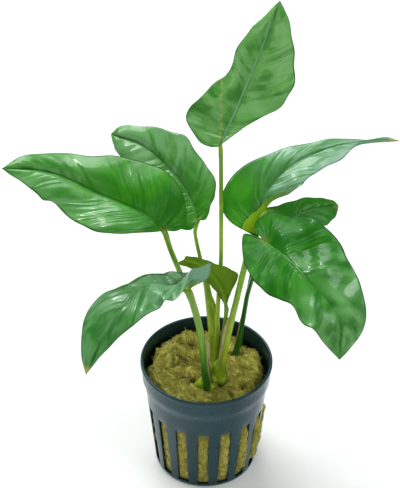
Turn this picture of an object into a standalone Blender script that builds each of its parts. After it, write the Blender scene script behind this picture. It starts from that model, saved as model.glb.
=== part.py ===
"""Potted anubias: a slotted net pot, a plug of rockwool, a creeping rhizome, eight stems and eight leaves.

Driving dimensions are in millimetres and angles in degrees. The pot's base is centred on the world origin,
the pot's axis is +Z, and the plant's front faces -Y.
"""

import math
from collections import namedtuple

import bmesh
import bpy
import numpy as np
from mathutils import Matrix, Vector

MM = 0.001
GAP = 0.3  # clearance kept between neighbouring pieces

# Pot
POT_HEIGHT = 54.0
LIP_RADIUS = 27.5
LIP_HEIGHT = 1.9
LIP_UNDERCUT = 0.5
COLLAR_HEIGHT = 9.0
COLLAR_STEP = 0.8
WALL_TOP_RADIUS = 25.9
BASE_RADIUS = 21.3
WALL = 1.1
FLOOR = 1.2
EDGE = 0.6
POT_STEPS = 64

# Slots round the pot's wall, and the drain slots in its floor
SLOTS = 16
SLOT_WIDTH = 4.6
SLOT_BOTTOM = 1.8
SLOT_TOP = 33.0
SLOT_TURN = -2.6
DRAINS = 8
DRAIN_WIDTH = 2.4
DRAIN_REACH = (7.0, 17.0)

# Rockwool
WOOL_TOP = 48.0
WOOL_STEPS = 64
WOOL_EDGE = 1.5  # how far the top's rim is rounded down
WOOL_SIDE_HEIGHTS = (8, 17, 26, 31.5, 38)
WOOL_TOP_RINGS = (1.0, 0.9, 0.7, 0.45, 0.2)  # shares of the wool's radius
BULGE_FRONT = 0.5  # how far the wool swells into every slot
BULGE_SIDE = 2.1  # how much further it swells on the plant's right
WOOL_LUMPS = (  # x, y, spread, height
    (-7, 20, 5, 3.2),
    (-19, 8, 5, 2.0),
    (-12, -9, 6, 1.2),
    (12, -10, 7, 1.4),
    (18, 5, 5, 0.9),
    (4, 21, 5, 1.2),
    (-5, 3, 5, -1.2),
    (9, 2, 4, -1.0),
)

# Rhizome
RHIZOME_FRONT = (-1.6, -14.4, 45.2)
RHIZOME_BACK = (15.4, 16.8, 45.4)
RHIZOME_RADIUS = 3.6
RHIZOME_NODES = 6  # leaf scars that ring it
BUDS = (((-2.6, -10.6, 47.4), 2.1), ((8.2, 0.4, 46.6), 2.2))  # centre, radius

# Leaves
BLADE = 0.8
BLADE_ROWS = 14
BLADE_HALF_COLUMNS = 3
VEIN_LEAN = 1.25  # how much closer to the base a vein starts than it ends
VEIN_SWEEP = 1.5  # how late a vein turns towards its end
FOLD_STATIONS = (0, 0.2, 0.4, 1)  # shares of the midrib from the joint to the tip

# A stem's route runs from the rhizome to the joint under the blade
STEM_POINTS = 15

# midrib: points from the joint to the tip. face: the way the upper side looks.
# left, right: each half's margin laid flat, as (along, out) from the joint to the tip.
# left_fold, right_fold: how far each half is folded up at each of FOLD_STATIONS.
Leaf = namedtuple("Leaf", "midrib face left right left_fold right_fold")

LEAVES = {
    "top": Leaf(
        midrib=((4, 8, 156), (11, 17, 170), (20, 27, 190), (26, 33, 206)),
        face=(0.05, -0.85, 0.55),
        left=(
            (-1.5, 3), (-1.5, 8), (1, 12), (5, 16.5), (9.5, 17), (14, 15), (21, 12.5), (27, 8.5),
            (37, 9), (46, 7), (52, 4),
        ),
        right=(
            (4, 0.5), (6, 3), (11, 6), (17, 10.5), (22, 15), (28, 16.5), (34, 16.5), (43, 12.5),
            (52, 7.5), (57, 3.5),
        ),
        left_fold=(12, 11, 10, 6),
        right_fold=(12, 11, 10, 6),
    ),
    "left": Leaf(
        midrib=((-17, -14, 132), (-24, -12, 138), (-42, -2, 140), (-61, 6, 144), (-80, 6, 146)),
        face=(-0.05, -0.5, 0.85),
        left=((4, 3), (11, 10.5), (20, 15.5), (30, 15), (40, 13), (46, 11.8), (52, 12), (61, 7)),
        right=(
            (-3.5, 3), (-4.5, 7), (-1.5, 11), (3.5, 14.5), (12, 18.5), (22, 18), (32, 16),
            (45, 10.5), (58, 6.8), (65, 4.5),
        ),
        left_fold=(12, 11, 10, 6),
        right_fold=(12, 11, 10, 6),
    ),
    "back_left": Leaf(
        midrib=((-4, 12, 117), (-6, 17, 121), (-13, 28, 127), (-26, 40, 133), (-40, 46, 135)),
        face=(-0.2, -0.75, 0.6),
        left=((-3, 4), (0, 10), (8, 14), (20, 14), (34, 12), (49, 7.3), (53, 3.5)),
        right=(
            (-0.5, 3), (1.5, 5.2), (4, 6.5), (6, 10), (10, 13), (17, 13), (22, 12.8), (29, 14),
            (35, 11.5), (43, 7.5), (50, 5.2), (53, 3.7),
        ),
        left_fold=(10, 10, 9, 6),
        right_fold=(10, 10, 9, 6),
    ),
    "right": Leaf(
        midrib=(
            (19, 8, 112), (20, 14, 116), (24, 22, 125), (35, 30, 133), (54, 38, 136),
            (77, 42, 136),
        ),
        face=(-0.1, -0.45, 0.88),
        left=(
            (4, 6.5), (4, 10), (7, 14), (12, 16.2), (17, 15), (22, 12.5), (30, 9.3), (37, 7),
            (44, 5.5), (54, 3.6), (62, 2.4), (67, 1.2),
        ),
        right=(
            (3.5, 4.5), (0, 9.5), (3, 10), (7, 10.5), (12, 11), (18, 11), (24, 10), (34, 9.5),
            (44, 8.5), (53, 6.5), (61, 2.8), (67, 0.8),
        ),
        left_fold=(10, 10, 10, 10),
        right_fold=(132, 72, 12, 8),
    ),
    "back_right": Leaf(
        midrib=((23, 3, 118), (30, 11, 117), (40, 20, 116), (53, 27, 114)),
        face=(0.0, -0.35, 0.93),
        left=((-2, 2), (2, 6), (7, 8.8), (12, 8.6), (18, 7.2), (28, 5.8), (37, 3.3)),
        right=((-2, 2.5), (2, 7), (9, 10), (18, 10.5), (26, 9.7), (33, 6.8), (37, 3)),
        left_fold=(10, 10, 8, 5),
        right_fold=(10, 10, 8, 5),
    ),
    "front_right": Leaf(
        midrib=((22, -6, 121), (30, -16, 121), (38, -27, 119), (49, -41, 112), (50, -50, 99)),
        face=(0.15, -0.7, 0.7),
        left=(
            (-5.5, 4.3), (-6, 8.5), (-2.5, 12.7), (3, 16), (11, 18.8), (20, 19.2), (28, 17.6),
            (38, 14.8), (47, 10.7), (54, 6.7), (59, 2.8),
        ),
        right=(
            (-6, 1), (-9.5, 2.5), (-8, 5), (-2, 10), (4, 13.3), (11, 15.7), (20, 16), (27, 13.2),
            (31, 11.8), (38, 12.5), (46, 11.5), (54, 7.5),
        ),
        left_fold=(8, 8, 7, 5),
        right_fold=(8, 8, 7, 5),
    ),
    "front_left": Leaf(
        midrib=((-8, -20, 108), (-15, -23, 112), (-24, -27, 116), (-34, -38, 111), (-46, -52, 92)),
        face=(-0.25, -0.6, 0.75),
        left=(
            (-1.5, 1), (-5.5, 4.5), (-6.5, 8), (-5, 12), (-1, 9), (3, 6), (10, 9.5), (16, 11.5),
            (23, 11.2), (30, 10.5), (41, 6.2), (52, 2.5),
        ),
        right=(
            (-4, 4), (-8.5, 10), (-8, 12), (-2, 8), (3, 6), (9, 7), (17, 6.8), (23, 9), (29, 13.5),
            (35, 14.8), (45, 12.5), (56, 6),
        ),
        left_fold=(145, 75, 3, 0),
        right_fold=(15, -50, -22, -5),
    ),
    "young": Leaf(
        midrib=((7.5, -4, 86.5), (6, -3, 93.5), (2, -2, 100.5), (-3, -2, 105.5), (-9.5, -3, 109)),
        face=(-0.1, 0.9, 0.3),
        left=((2, 1.2), (8, 4.8), (10.2, 8.4), (16, 6.2), (20, 4.3), (24, 2.6)),
        right=((4, 2), (11, 3.7), (19.5, 6.2), (24, 4.5), (27, 2.8)),
        left_fold=(10, 12, 20, 45),
        right_fold=(10, 12, 20, 45),
    ),
}

# route, radius at the rhizome, radius at the blade
STEMS = {
    "top": (
        (
            (3.2, -4.3, 50), (3.9, -2.5, 62), (4.5, 2.5, 84.5), (5.2, 4.5, 102), (4.9, 6, 129.5),
            (4.4, 7.3, 154),
        ),
        1.0,
        0.8,
    ),
    "left": (
        (
            (1.0, -7.8, 50.2), (-3.4, -9, 82), (-10.5, -11.5, 108), (-14.6, -13, 122),
            (-16.4, -14.2, 130.4),
        ),
        1.2,
        1.05,
    ),
    "back_left": (
        (
            (4.2, -0.8, 50.2), (2.3, 3, 70), (-0.4, 8, 87), (-3.1, 10.5, 99), (-5.2, 12.2, 110),
            (-4.6, 12.4, 114.6),
        ),
        1.4,
        0.7,
    ),
    "right": (
        (
            (5.6, -6.6, 50), (7.9, -5.6, 66.5), (10.3, -4.6, 81.5), (12.4, -3.4, 93),
            (14.9, -1.2, 106), (16.7, 1.8, 110.5), (18.2, 6.2, 111.6),
        ),
        1.3,
        1.2,
    ),
    "back_right": (
        (
            (14.4, 14, 50.2), (15.1, 12, 65), (16.5, 9.5, 81), (18.3, 7, 97), (22.1, 3.2, 115.6),
        ),
        0.9,
        0.75,
    ),
    "front_right": (
        (
            (12.6, 9.6, 50.2), (14.6, 7.5, 66), (16.3, 4.5, 85), (18.6, 1.4, 99),
            (21.2, -3.6, 117.5),
        ),
        1.1,
        0.85,
    ),
    "front_left": (
        (
            (0.2, -11.6, 50), (-0.9, -12.5, 59), (-2.3, -14.5, 78), (-5, -17, 94.6),
            (-7.4, -19.4, 105.6),
        ),
        1.5,
        1.4,
    ),
    "young": (((6.9, -2.8, 50.4), (6.6, -3, 67), (7.6, -3.8, 81.5), (7.7, -4, 84.5)), 1.0, 0.8),
}

POT_BLUE = (0.045, 0.085, 0.115)
WOOL_BROWN = (0.34, 0.27, 0.09)
CROWN_GREEN = (0.36, 0.45, 0.10)
STEM_GREEN = (0.22, 0.42, 0.06)
LEAF_GREEN = (0.04, 0.23, 0.03)


def clear_scene():
    for obj in list(bpy.data.objects):
        bpy.data.objects.remove(obj, do_unlink=True)


def plain_material(name, color, roughness):
    material = bpy.data.materials.new(name)
    material.use_nodes = True
    shader = material.node_tree.nodes["Principled BSDF"]
    shader.inputs["Base Color"].default_value = (*color, 1.0)
    shader.inputs["Roughness"].default_value = roughness
    shader.inputs["Metallic"].default_value = 0.0
    return material


def add_object(name, data, material=None):
    obj = bpy.data.objects.new(name, data)
    bpy.context.scene.collection.objects.link(obj)
    if material:
        obj.data.materials.append(material)
    return obj


def mesh_object(name, bm, material=None, smooth=True):
    """Links the bmesh, drawn in millimetres, as an object in metres."""
    bmesh.ops.scale(bm, vec=(MM, MM, MM), verts=bm.verts)
    mesh = bpy.data.meshes.new(name)
    bm.to_mesh(mesh)
    bm.free()
    if smooth:
        mesh.shade_smooth()
    return add_object(name, mesh, material)


def hide_tool(obj):
    obj.hide_render = True
    obj.display_type = "WIRE"


def boolean(obj, tool, operation):
    modifier = obj.modifiers.new(tool.name, "BOOLEAN")
    modifier.object = tool
    modifier.operation = operation
    modifier.solver = "EXACT"


def smooth_line(points, count):
    """count points, evenly spaced by length, on a smooth line through the given points."""
    knots = np.array(points, float)
    knots = np.vstack([2 * knots[0] - knots[1], knots, 2 * knots[-1] - knots[-2]])
    t = np.linspace(0, 1, 16, endpoint=False)[:, None]
    pieces = []
    for before, start, end, after in zip(knots, knots[1:], knots[2:], knots[3:]):
        bend = 2 * before - 5 * start + 4 * end - after
        twist = 3 * start - before - 3 * end + after
        pieces.append(0.5 * (2 * start + (end - before) * t + bend * t**2 + twist * t**3))
    line = np.vstack([*pieces, knots[-2:-1]])
    run = np.concatenate([[0], np.cumsum(np.linalg.norm(np.diff(line, axis=0), axis=1))])
    wanted = np.linspace(0, run[-1], count)
    return np.stack([np.interp(wanted, run, column) for column in line.T], axis=1)


def ease(a):
    a = min(max(a, 0.0), 1.0)
    return a * a * (3 - 2 * a)


def turned(profile, steps):
    """A closed solid turned about Z from a profile of (radius, height) that starts and ends on the axis."""
    bm = bmesh.new()
    verts = [bm.verts.new((radius, 0, height)) for radius, height in profile]
    edges = [bm.edges.new(pair) for pair in zip(verts, verts[1:])]
    bmesh.ops.spin(
        bm,
        geom=verts + edges,
        cent=(0, 0, 0),
        axis=(0, 0, 1),
        angle=math.tau,
        steps=steps,
        use_merge=True,
    )
    bmesh.ops.remove_doubles(bm, verts=bm.verts, dist=1e-4)
    bmesh.ops.recalc_face_normals(bm, faces=bm.faces)
    return bm


def wall_radius(height):
    """The outer radius of the pot's slotted wall at this height."""
    wall_top = POT_HEIGHT - COLLAR_HEIGHT
    return BASE_RADIUS + (WALL_TOP_RADIUS - BASE_RADIUS) * height / wall_top


def pot_profile():
    collar_bottom = POT_HEIGHT - COLLAR_HEIGHT
    lip_bottom = POT_HEIGHT - LIP_HEIGHT
    collar_top_radius = LIP_RADIUS - LIP_UNDERCUT
    return [
        (0, 0),
        (BASE_RADIUS - EDGE, 0),
        (wall_radius(EDGE), EDGE),
        (wall_radius(SLOT_TOP), SLOT_TOP),
        (WALL_TOP_RADIUS, collar_bottom),
        (WALL_TOP_RADIUS + COLLAR_STEP, collar_bottom + 0.3),
        (collar_top_radius, lip_bottom - 0.3),
        (LIP_RADIUS - 0.1, lip_bottom),
        (LIP_RADIUS, POT_HEIGHT - 1.0),
        (LIP_RADIUS - 0.4, POT_HEIGHT - 0.1),
        (LIP_RADIUS - 0.8, POT_HEIGHT),
        (LIP_RADIUS - 1.3, POT_HEIGHT - 0.5),
        (WALL_TOP_RADIUS + COLLAR_STEP - WALL, collar_bottom + 0.3),
        (WALL_TOP_RADIUS - WALL, collar_bottom - 0.6),
        (wall_radius(FLOOR) - WALL, FLOOR),
        (0, FLOOR),
    ]


def add_box(bm, low, high, turn):
    """A box from corner to corner, turned about Z by this many degrees."""
    low, high = Vector(low), Vector(high)
    size = high - low
    place = Matrix.Rotation(math.radians(turn), 4, "Z") @ Matrix.Translation((low + high) / 2)
    bmesh.ops.create_cube(bm, size=1.0, matrix=place @ Matrix.Diagonal((*size, 1.0)))


def slot_cutter():
    """The wall's slots and the floor's drains, as boxes. Turn 0 looks along -Y."""
    bm = bmesh.new()
    half = SLOT_WIDTH / 2
    for slot in range(SLOTS):
        turn = SLOT_TURN + 360 / SLOTS * slot
        add_box(bm, (-half, -LIP_RADIUS, SLOT_BOTTOM), (half, 3 * WALL - BASE_RADIUS, SLOT_TOP), turn)
    near, far = DRAIN_REACH
    for drain in range(DRAINS):
        turn = SLOT_TURN + 360 / DRAINS * drain
        add_box(bm, (-DRAIN_WIDTH / 2, -far, -1), (DRAIN_WIDTH / 2, -near, FLOOR + 0.4), turn)
    tool = mesh_object("slot_cutter", bm, smooth=False)
    hide_tool(tool)
    return tool


def build_pot():
    plastic = plain_material("pot_plastic", POT_BLUE, 0.35)
    pot = mesh_object("pot", turned(pot_profile(), POT_STEPS), plastic)
    pot.data.set_sharp_from_angle(angle=math.radians(35))
    boolean(pot, slot_cutter(), "DIFFERENCE")


def wool_top(x, y):
    """The height of the wool's lumpy top."""
    lumps = sum(
        height * math.exp(-((x - cx) ** 2 + (y - cy) ** 2) / (2 * spread**2))
        for cx, cy, spread, height in WOOL_LUMPS
    )
    return WOOL_TOP + lumps


def slot_bulge(turn, height):
    """How far the wool swells into the slots, most of all on the plant's right."""
    pitch = 360 / SLOTS
    from_centre = abs((turn - SLOT_TURN + pitch / 2) % pitch - pitch / 2) / (pitch / 4)
    across = max(0.0, math.cos(math.radians(90 * min(from_centre, 1.0))))
    rise = ease((height - SLOT_BOTTOM - 1) / 6) * ease((SLOT_TOP - 1 - height) / 5)
    to_side = ease(0.5 + 0.9 * math.sin(math.radians(turn)))
    return across * rise * (BULGE_FRONT + BULGE_SIDE * to_side)


def wool_radius(height):
    return min(wall_radius(height), WALL_TOP_RADIUS) - WALL - GAP


def build_wool(cutters):
    """The plug of wool, open where the rhizome lies in it."""
    bottom = FLOOR + GAP
    rim = wool_radius(WOOL_TOP)
    side = [(wool_radius(height), height) for height in (bottom, *WOOL_SIDE_HEIGHTS)]
    top = [(rim * share, WOOL_TOP) for share in WOOL_TOP_RINGS]
    bm = turned([(0, bottom), *side, *top, (0, WOOL_TOP)], WOOL_STEPS)
    to_slots = Matrix.Rotation(math.radians(SLOT_TURN), 3, "Z")
    bmesh.ops.rotate(bm, verts=bm.verts, cent=(0, 0, 0), matrix=to_slots)
    for vert in bm.verts:
        x, y, height = vert.co
        radius = math.hypot(x, y)
        if height > WOOL_TOP - GAP:
            vert.co.z = wool_top(x, y) - WOOL_EDGE * ease((radius / rim - 0.9) / 0.1)
        elif height > bottom + GAP:
            turn = math.degrees(math.atan2(x, -y))
            vert.co.xy *= (radius + slot_bulge(turn, height)) / radius
    wool = mesh_object("rockwool", bm, plain_material("rockwool", WOOL_BROWN, 0.95))
    for cutter in cutters:
        boolean(wool, cutter, "DIFFERENCE")


def rhizome_mesh(grow):
    """The creeping stem: a long rounded body ringed by leaf scars."""
    front, back = Vector(RHIZOME_FRONT), Vector(RHIZOME_BACK)
    half = (back - front).length / 2 + grow
    turn = (back - front).to_track_quat("Z", "Y").to_matrix().to_4x4()
    bm = bmesh.new()
    bmesh.ops.create_uvsphere(bm, u_segments=12, v_segments=14, radius=1.0)
    for vert in bm.verts:
        along = vert.co.z
        ring = 1 + 0.05 * math.cos(math.tau * RHIZOME_NODES * (along + 1) / 2)
        full = (1 - abs(along) ** 4) ** 0.5 * ring * (RHIZOME_RADIUS + grow)
        width = math.hypot(vert.co.x, vert.co.y)
        if width > 1e-6:
            vert.co.xy *= full / width
        vert.co.z = along * half
    bmesh.ops.transform(bm, matrix=Matrix.Translation((front + back) / 2) @ turn, verts=bm.verts)
    return bm


def bud_mesh(centre, radius):
    bm = bmesh.new()
    place = Matrix.Translation(centre)
    bmesh.ops.create_uvsphere(bm, u_segments=12, v_segments=8, radius=radius, matrix=place)
    return bm


def build_rhizome():
    """Returns the hidden bodies that make room for the rhizome in the wool."""
    rhizome = mesh_object("rhizome", rhizome_mesh(0), plain_material("crown", CROWN_GREEN, 0.5))
    pockets = [mesh_object("rhizome_pocket", rhizome_mesh(GAP))]
    for number, (centre, radius) in enumerate(BUDS, 1):
        bud = mesh_object(f"bud_{number}", bud_mesh(centre, radius))
        hide_tool(bud)
        boolean(rhizome, bud, "UNION")
        pockets.append(mesh_object(f"bud_pocket_{number}", bud_mesh(centre, radius + GAP)))
    for pocket in pockets:
        hide_tool(pocket)
    return pockets


def build_stem(name, route, base_radius, top_radius, material):
    """A tapering stem along a smooth line through its route."""
    curve = bpy.data.curves.new(name, "CURVE")
    curve.dimensions = "3D"
    curve.bevel_depth = MM
    curve.bevel_resolution = 2
    curve.use_fill_caps = True
    spline = curve.splines.new("POLY")
    spline.points.add(STEM_POINTS - 1)
    for number, place in enumerate(smooth_line(route, STEM_POINTS)):
        share = number / (STEM_POINTS - 1)
        spline.points[number].co = (*(place * MM), 1.0)
        spline.points[number].radius = base_radius + (top_radius - base_radius) * share
    add_object(f"stem_{name}", curve, material)


class Blade:
    """A blade drawn flat beside a straight midrib, then laid along the midrib's real course."""

    def __init__(self, leaf):
        self.leaf = leaf
        self.rib = smooth_line(leaf.midrib, 60)
        step = np.linalg.norm(self.rib[1] - self.rib[0])
        self.length = step * (len(self.rib) - 1)
        self.stations = np.linspace(0, self.length, len(self.rib))
        tip = (self.length, 0)
        self.margins = {
            -1: smooth_line([(0, 0), *leaf.left, tip], 80),
            1: smooth_line([(0, 0), *leaf.right, tip], 80),
        }
        self.folds = {-1: leaf.left_fold, 1: leaf.right_fold}
        self.face = Vector(leaf.face).normalized()

    def on_rib(self, along):
        """A point on the midrib, which runs on straight past both its ends."""
        inside = min(max(along, 0.0), self.length)
        place = Vector([np.interp(inside, self.stations, column) for column in self.rib.T])
        end = self.rib[:3] if along < self.length / 2 else self.rib[-3:]
        heading = Vector(end[2] - end[0]).normalized()
        return place + heading * (along - inside)

    def flat(self, share, across):
        """Flat (along, out) of the point this far across, from -1 at the left margin to 1 at the right."""
        margin = self.margins[1 if across >= 0 else -1]
        number = share * (len(margin) - 1)
        end_along, end_out = (float(np.interp(number, range(len(margin)), column)) for column in margin.T)
        start = self.length * share**VEIN_LEAN
        reach = abs(across)
        along = start + (end_along - start) * reach**VEIN_SWEEP
        return along, end_out * reach

    def fold(self, hand, along):
        """How far this half is folded up here, in radians."""
        share = min(max(along / self.length, 0.0), 1.0)
        stretch = next(i for i, end in enumerate(FOLD_STATIONS[1:]) if share <= end)
        start, end = FOLD_STATIONS[stretch : stretch + 2]
        before, after = self.folds[hand][stretch : stretch + 2]
        return math.radians(before + (after - before) * ease((share - start) / (end - start)))

    def point(self, share, across):
        """Where a point of the flat blade lies in space."""
        hand = 1 if across >= 0 else -1
        along, out = self.flat(share, across)
        heading = (self.on_rib(along + 2.5) - self.on_rib(along - 2.5)).normalized()
        side = heading.cross(self.face).normalized()
        up = side.cross(heading)
        angle = self.fold(hand, along)
        return self.on_rib(along) + out * (hand * math.cos(angle) * side + math.sin(angle) * up)


def build_leaf(name, leaf, material):
    blade = Blade(leaf)
    bm = bmesh.new()
    bmesh.ops.create_grid(bm, x_segments=BLADE_ROWS, y_segments=2 * BLADE_HALF_COLUMNS, size=1.0)
    for vert in bm.verts:
        vert.co = blade.point((vert.co.x + 1) / 2, -vert.co.y)
    bmesh.ops.remove_doubles(bm, verts=bm.verts, dist=0.02)
    obj = mesh_object(f"leaf_{name}", bm, material)
    shell = obj.modifiers.new("thickness", "SOLIDIFY")
    shell.thickness = BLADE * MM
    shell.offset = 0


def main():
    clear_scene()
    build_pot()
    build_wool(build_rhizome())
    stem_material = plain_material("stem", STEM_GREEN, 0.4)
    leaf_material = plain_material("leaf", LEAF_GREEN, 0.3)
    for name, (route, base_radius, top_radius) in STEMS.items():
        build_stem(name, route, base_radius, top_radius, stem_material)
    for name, leaf in LEAVES.items():
        build_leaf(name, leaf, leaf_material)


if __name__ == "__main__":
    main()
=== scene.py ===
"""Looks of the potted anubias: glossy leaves, stalks, rhizome, rockwool and net pot on a pale stage.

Inside the functions lengths are in millimetres. Finished meshes are in metres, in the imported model's frame.
"""

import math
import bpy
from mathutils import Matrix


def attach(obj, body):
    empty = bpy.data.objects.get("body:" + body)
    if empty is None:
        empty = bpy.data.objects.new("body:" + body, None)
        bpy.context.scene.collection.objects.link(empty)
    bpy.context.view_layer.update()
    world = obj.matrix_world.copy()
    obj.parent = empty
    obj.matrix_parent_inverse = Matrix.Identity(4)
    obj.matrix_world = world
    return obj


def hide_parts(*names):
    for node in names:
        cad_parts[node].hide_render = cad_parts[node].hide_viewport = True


bl_info = {
    "name": "Potted anubias",
    "version": (1, 0, 0),
    "blender": (4, 5, 0),
    "location": "3D View > Sidebar > Anubias",
    "description": "Builds the leaves, stalks, rhizome, rockwool and net pot of a potted anubias",
    "category": "Add Mesh",
}

from collections import namedtuple

import bmesh
import bpy
import numpy as np
from bpy.props import FloatProperty, FloatVectorProperty, IntProperty, PointerProperty
from mathutils import Matrix, Vector, noise

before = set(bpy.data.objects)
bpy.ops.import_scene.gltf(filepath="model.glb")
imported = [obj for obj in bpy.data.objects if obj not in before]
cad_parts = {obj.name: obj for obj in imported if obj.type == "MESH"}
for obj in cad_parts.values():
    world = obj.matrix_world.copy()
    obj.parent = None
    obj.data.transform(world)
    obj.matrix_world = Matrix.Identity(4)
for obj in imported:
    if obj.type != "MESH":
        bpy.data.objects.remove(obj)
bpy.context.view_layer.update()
MM = 0.001
BODY = "root"

# Shares of the midrib, from the joint to the tip, where a leaf states how far it is folded up
FOLD_STATIONS = (0, 0.2, 0.4, 1)
VEIN_SWEEP = 1.5  # how late a side vein turns towards its end

# midrib: points from the joint to the tip. face: the way the upper side looks.
# left, right: each half's margin laid flat, as (along, out) from the joint to the tip.
# left_fold, right_fold: how far each half is folded up at each of FOLD_STATIONS.
Leaf = namedtuple("Leaf", "midrib face left right left_fold right_fold")

LEAVES = {
    "top": Leaf(
        midrib=((4, 8, 156), (11, 17, 170), (20, 27, 190), (26, 33, 206)),
        face=(0.05, -0.85, 0.55),
        left=(
            (-1.5, 3), (-1.5, 8), (1, 12), (5, 16.5), (9.5, 17), (14, 15), (21, 12.5), (27, 8.5),
            (37, 9), (46, 7), (52, 4),
        ),
        right=(
            (4, 0.5), (6, 3), (11, 6), (17, 10.5), (22, 15), (28, 16.5), (34, 16.5), (43, 12.5),
            (52, 7.5), (57, 3.5),
        ),
        left_fold=(12, 11, 10, 6),
        right_fold=(12, 11, 10, 6),
    ),
    "left": Leaf(
        midrib=((-17, -14, 132), (-24, -12, 138), (-42, -2, 140), (-61, 6, 144), (-80, 6, 146)),
        face=(-0.05, -0.5, 0.85),
        left=((4, 3), (11, 10.5), (20, 15.5), (30, 15), (40, 13), (46, 11.8), (52, 12), (61, 7)),
        right=(
            (-3.5, 3), (-4.5, 7), (-1.5, 11), (3.5, 14.5), (12, 18.5), (22, 18), (32, 16),
            (45, 10.5), (58, 6.8), (65, 4.5),
        ),
        left_fold=(12, 11, 10, 6),
        right_fold=(12, 11, 10, 6),
    ),
    "back_left": Leaf(
        midrib=((-4, 12, 117), (-6, 17, 121), (-13, 28, 127), (-26, 40, 133), (-40, 46, 135)),
        face=(-0.2, -0.75, 0.6),
        left=((-3, 4), (0, 10), (8, 14), (20, 14), (34, 12), (49, 7.3), (53, 3.5)),
        right=(
            (-0.5, 3), (1.5, 5.2), (4, 6.5), (6, 10), (10, 13), (17, 13), (22, 12.8), (29, 14),
            (35, 11.5), (43, 7.5), (50, 5.2), (53, 3.7),
        ),
        left_fold=(10, 10, 9, 6),
        right_fold=(10, 10, 9, 6),
    ),
    "right": Leaf(
        midrib=(
            (19, 8, 112), (20, 14, 116), (24, 22, 125), (35, 30, 133), (54, 38, 136),
            (77, 42, 136),
        ),
        face=(-0.1, -0.45, 0.88),
        left=(
            (4, 6.5), (4, 10), (7, 14), (12, 16.4), (17, 16.2), (22, 14), (30, 9.7), (37, 7.2),
            (44, 5.5), (54, 3.6), (60, 2.5), (66, 1.2), (69, 0.9), (73.5, 1.9), (76.3, 1.7), (79, 0.5),
        ),
        right=(
            (3.5, 4.5), (0, 9.5), (3, 9.6), (7, 7.4), (11, 6.3), (16, 8.5), (20, 10.4),
            (24, 11.6), (28, 11.6), (34, 10.2), (44, 8.5), (53, 6.5), (60.5, 2.5), (63.5, 1.2),
            (66.5, 0.3), (72, 0.1), (77, 0.1),
        ),
        left_fold=(10, 10, 10, 10),
        right_fold=(0, 5, 12, 8),
    ),
    "back_right": Leaf(
        midrib=((23, 3, 118), (30, 11, 117), (40, 20, 116), (53, 27, 114)),
        face=(0.0, -0.35, 0.93),
        left=((-2, 2), (2, 6), (7, 8.8), (12, 8.6), (18, 7.2), (28, 5.8), (37, 3.3)),
        right=((-2, 2.5), (2, 7), (9, 10), (18, 10.5), (26, 9.7), (33, 6.8), (37, 3)),
        left_fold=(10, 10, 8, 5),
        right_fold=(10, 10, 8, 5),
    ),
    "front_right": Leaf(
        midrib=((22, -6, 121), (30, -16, 121), (38, -27, 119), (49, -41, 112), (50, -50, 99)),
        face=(0.15, -0.7, 0.7),
        left=(
            (-7, 1.2), (-9.5, 4.5), (-7.5, 9), (-2.5, 12.7), (3, 16), (11, 18.8), (20, 19.2), (28, 17.6),
            (38, 14.8), (47, 10.7), (54, 6.7), (59, 2.8),
        ),
        right=(
            (-6, 1), (-9.5, 2.5), (-8, 5), (-2, 10), (4, 13.3), (11, 15.7), (20, 16), (27, 13.2),
            (31, 11.8), (38, 12.5), (46, 11.5), (54, 7.5),
        ),
        left_fold=(6, 5, 4, 3),
        right_fold=(6, 5, 4, 3),
    ),
    "front_left": Leaf(
        midrib=((-8, -20, 108), (-15, -23, 112), (-24, -27, 116), (-34, -38, 111), (-46, -52, 92)),
        face=(-0.25, -0.6, 0.75),
        left=(
            (-1.5, 1), (-5.5, 4.5), (-6.5, 8), (-5, 12), (-1, 9.5), (4, 9.2), (10, 11.4), (16, 12.2),
            (23, 11.4), (30, 10.5), (41, 6.2), (52, 2.5),
        ),
        right=(
            (-4, 4), (-8.5, 10), (-8, 12), (-2, 8), (3, 6), (9, 7), (17, 6.8), (23, 8.4), (29, 11.8),
            (35, 13), (45, 11.6), (56, 5.8),
        ),
        left_fold=(145, 52, 0, 0),
        right_fold=(15, -36, -22, -5),
    ),
    "young": Leaf(
        midrib=((7.5, -4, 86.5), (6, -3, 93.5), (2, -2, 100.5), (-3, -2, 105.5), (-9.5, -3, 109)),
        face=(-0.1, 0.9, 0.3),
        left=((2, 1.2), (8, 4.8), (10.2, 8.4), (16, 5.4), (20, 3.4), (25, 2.6), (29.5, 1.8)),
        right=((4, 2), (11, 3.9), (18, 5.2), (22, 3.4), (27, 3.4), (31, 2.6)),
        left_fold=(10, 12, 20, 30),
        right_fold=(10, 12, 10, -10),
    ),
}

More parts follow.
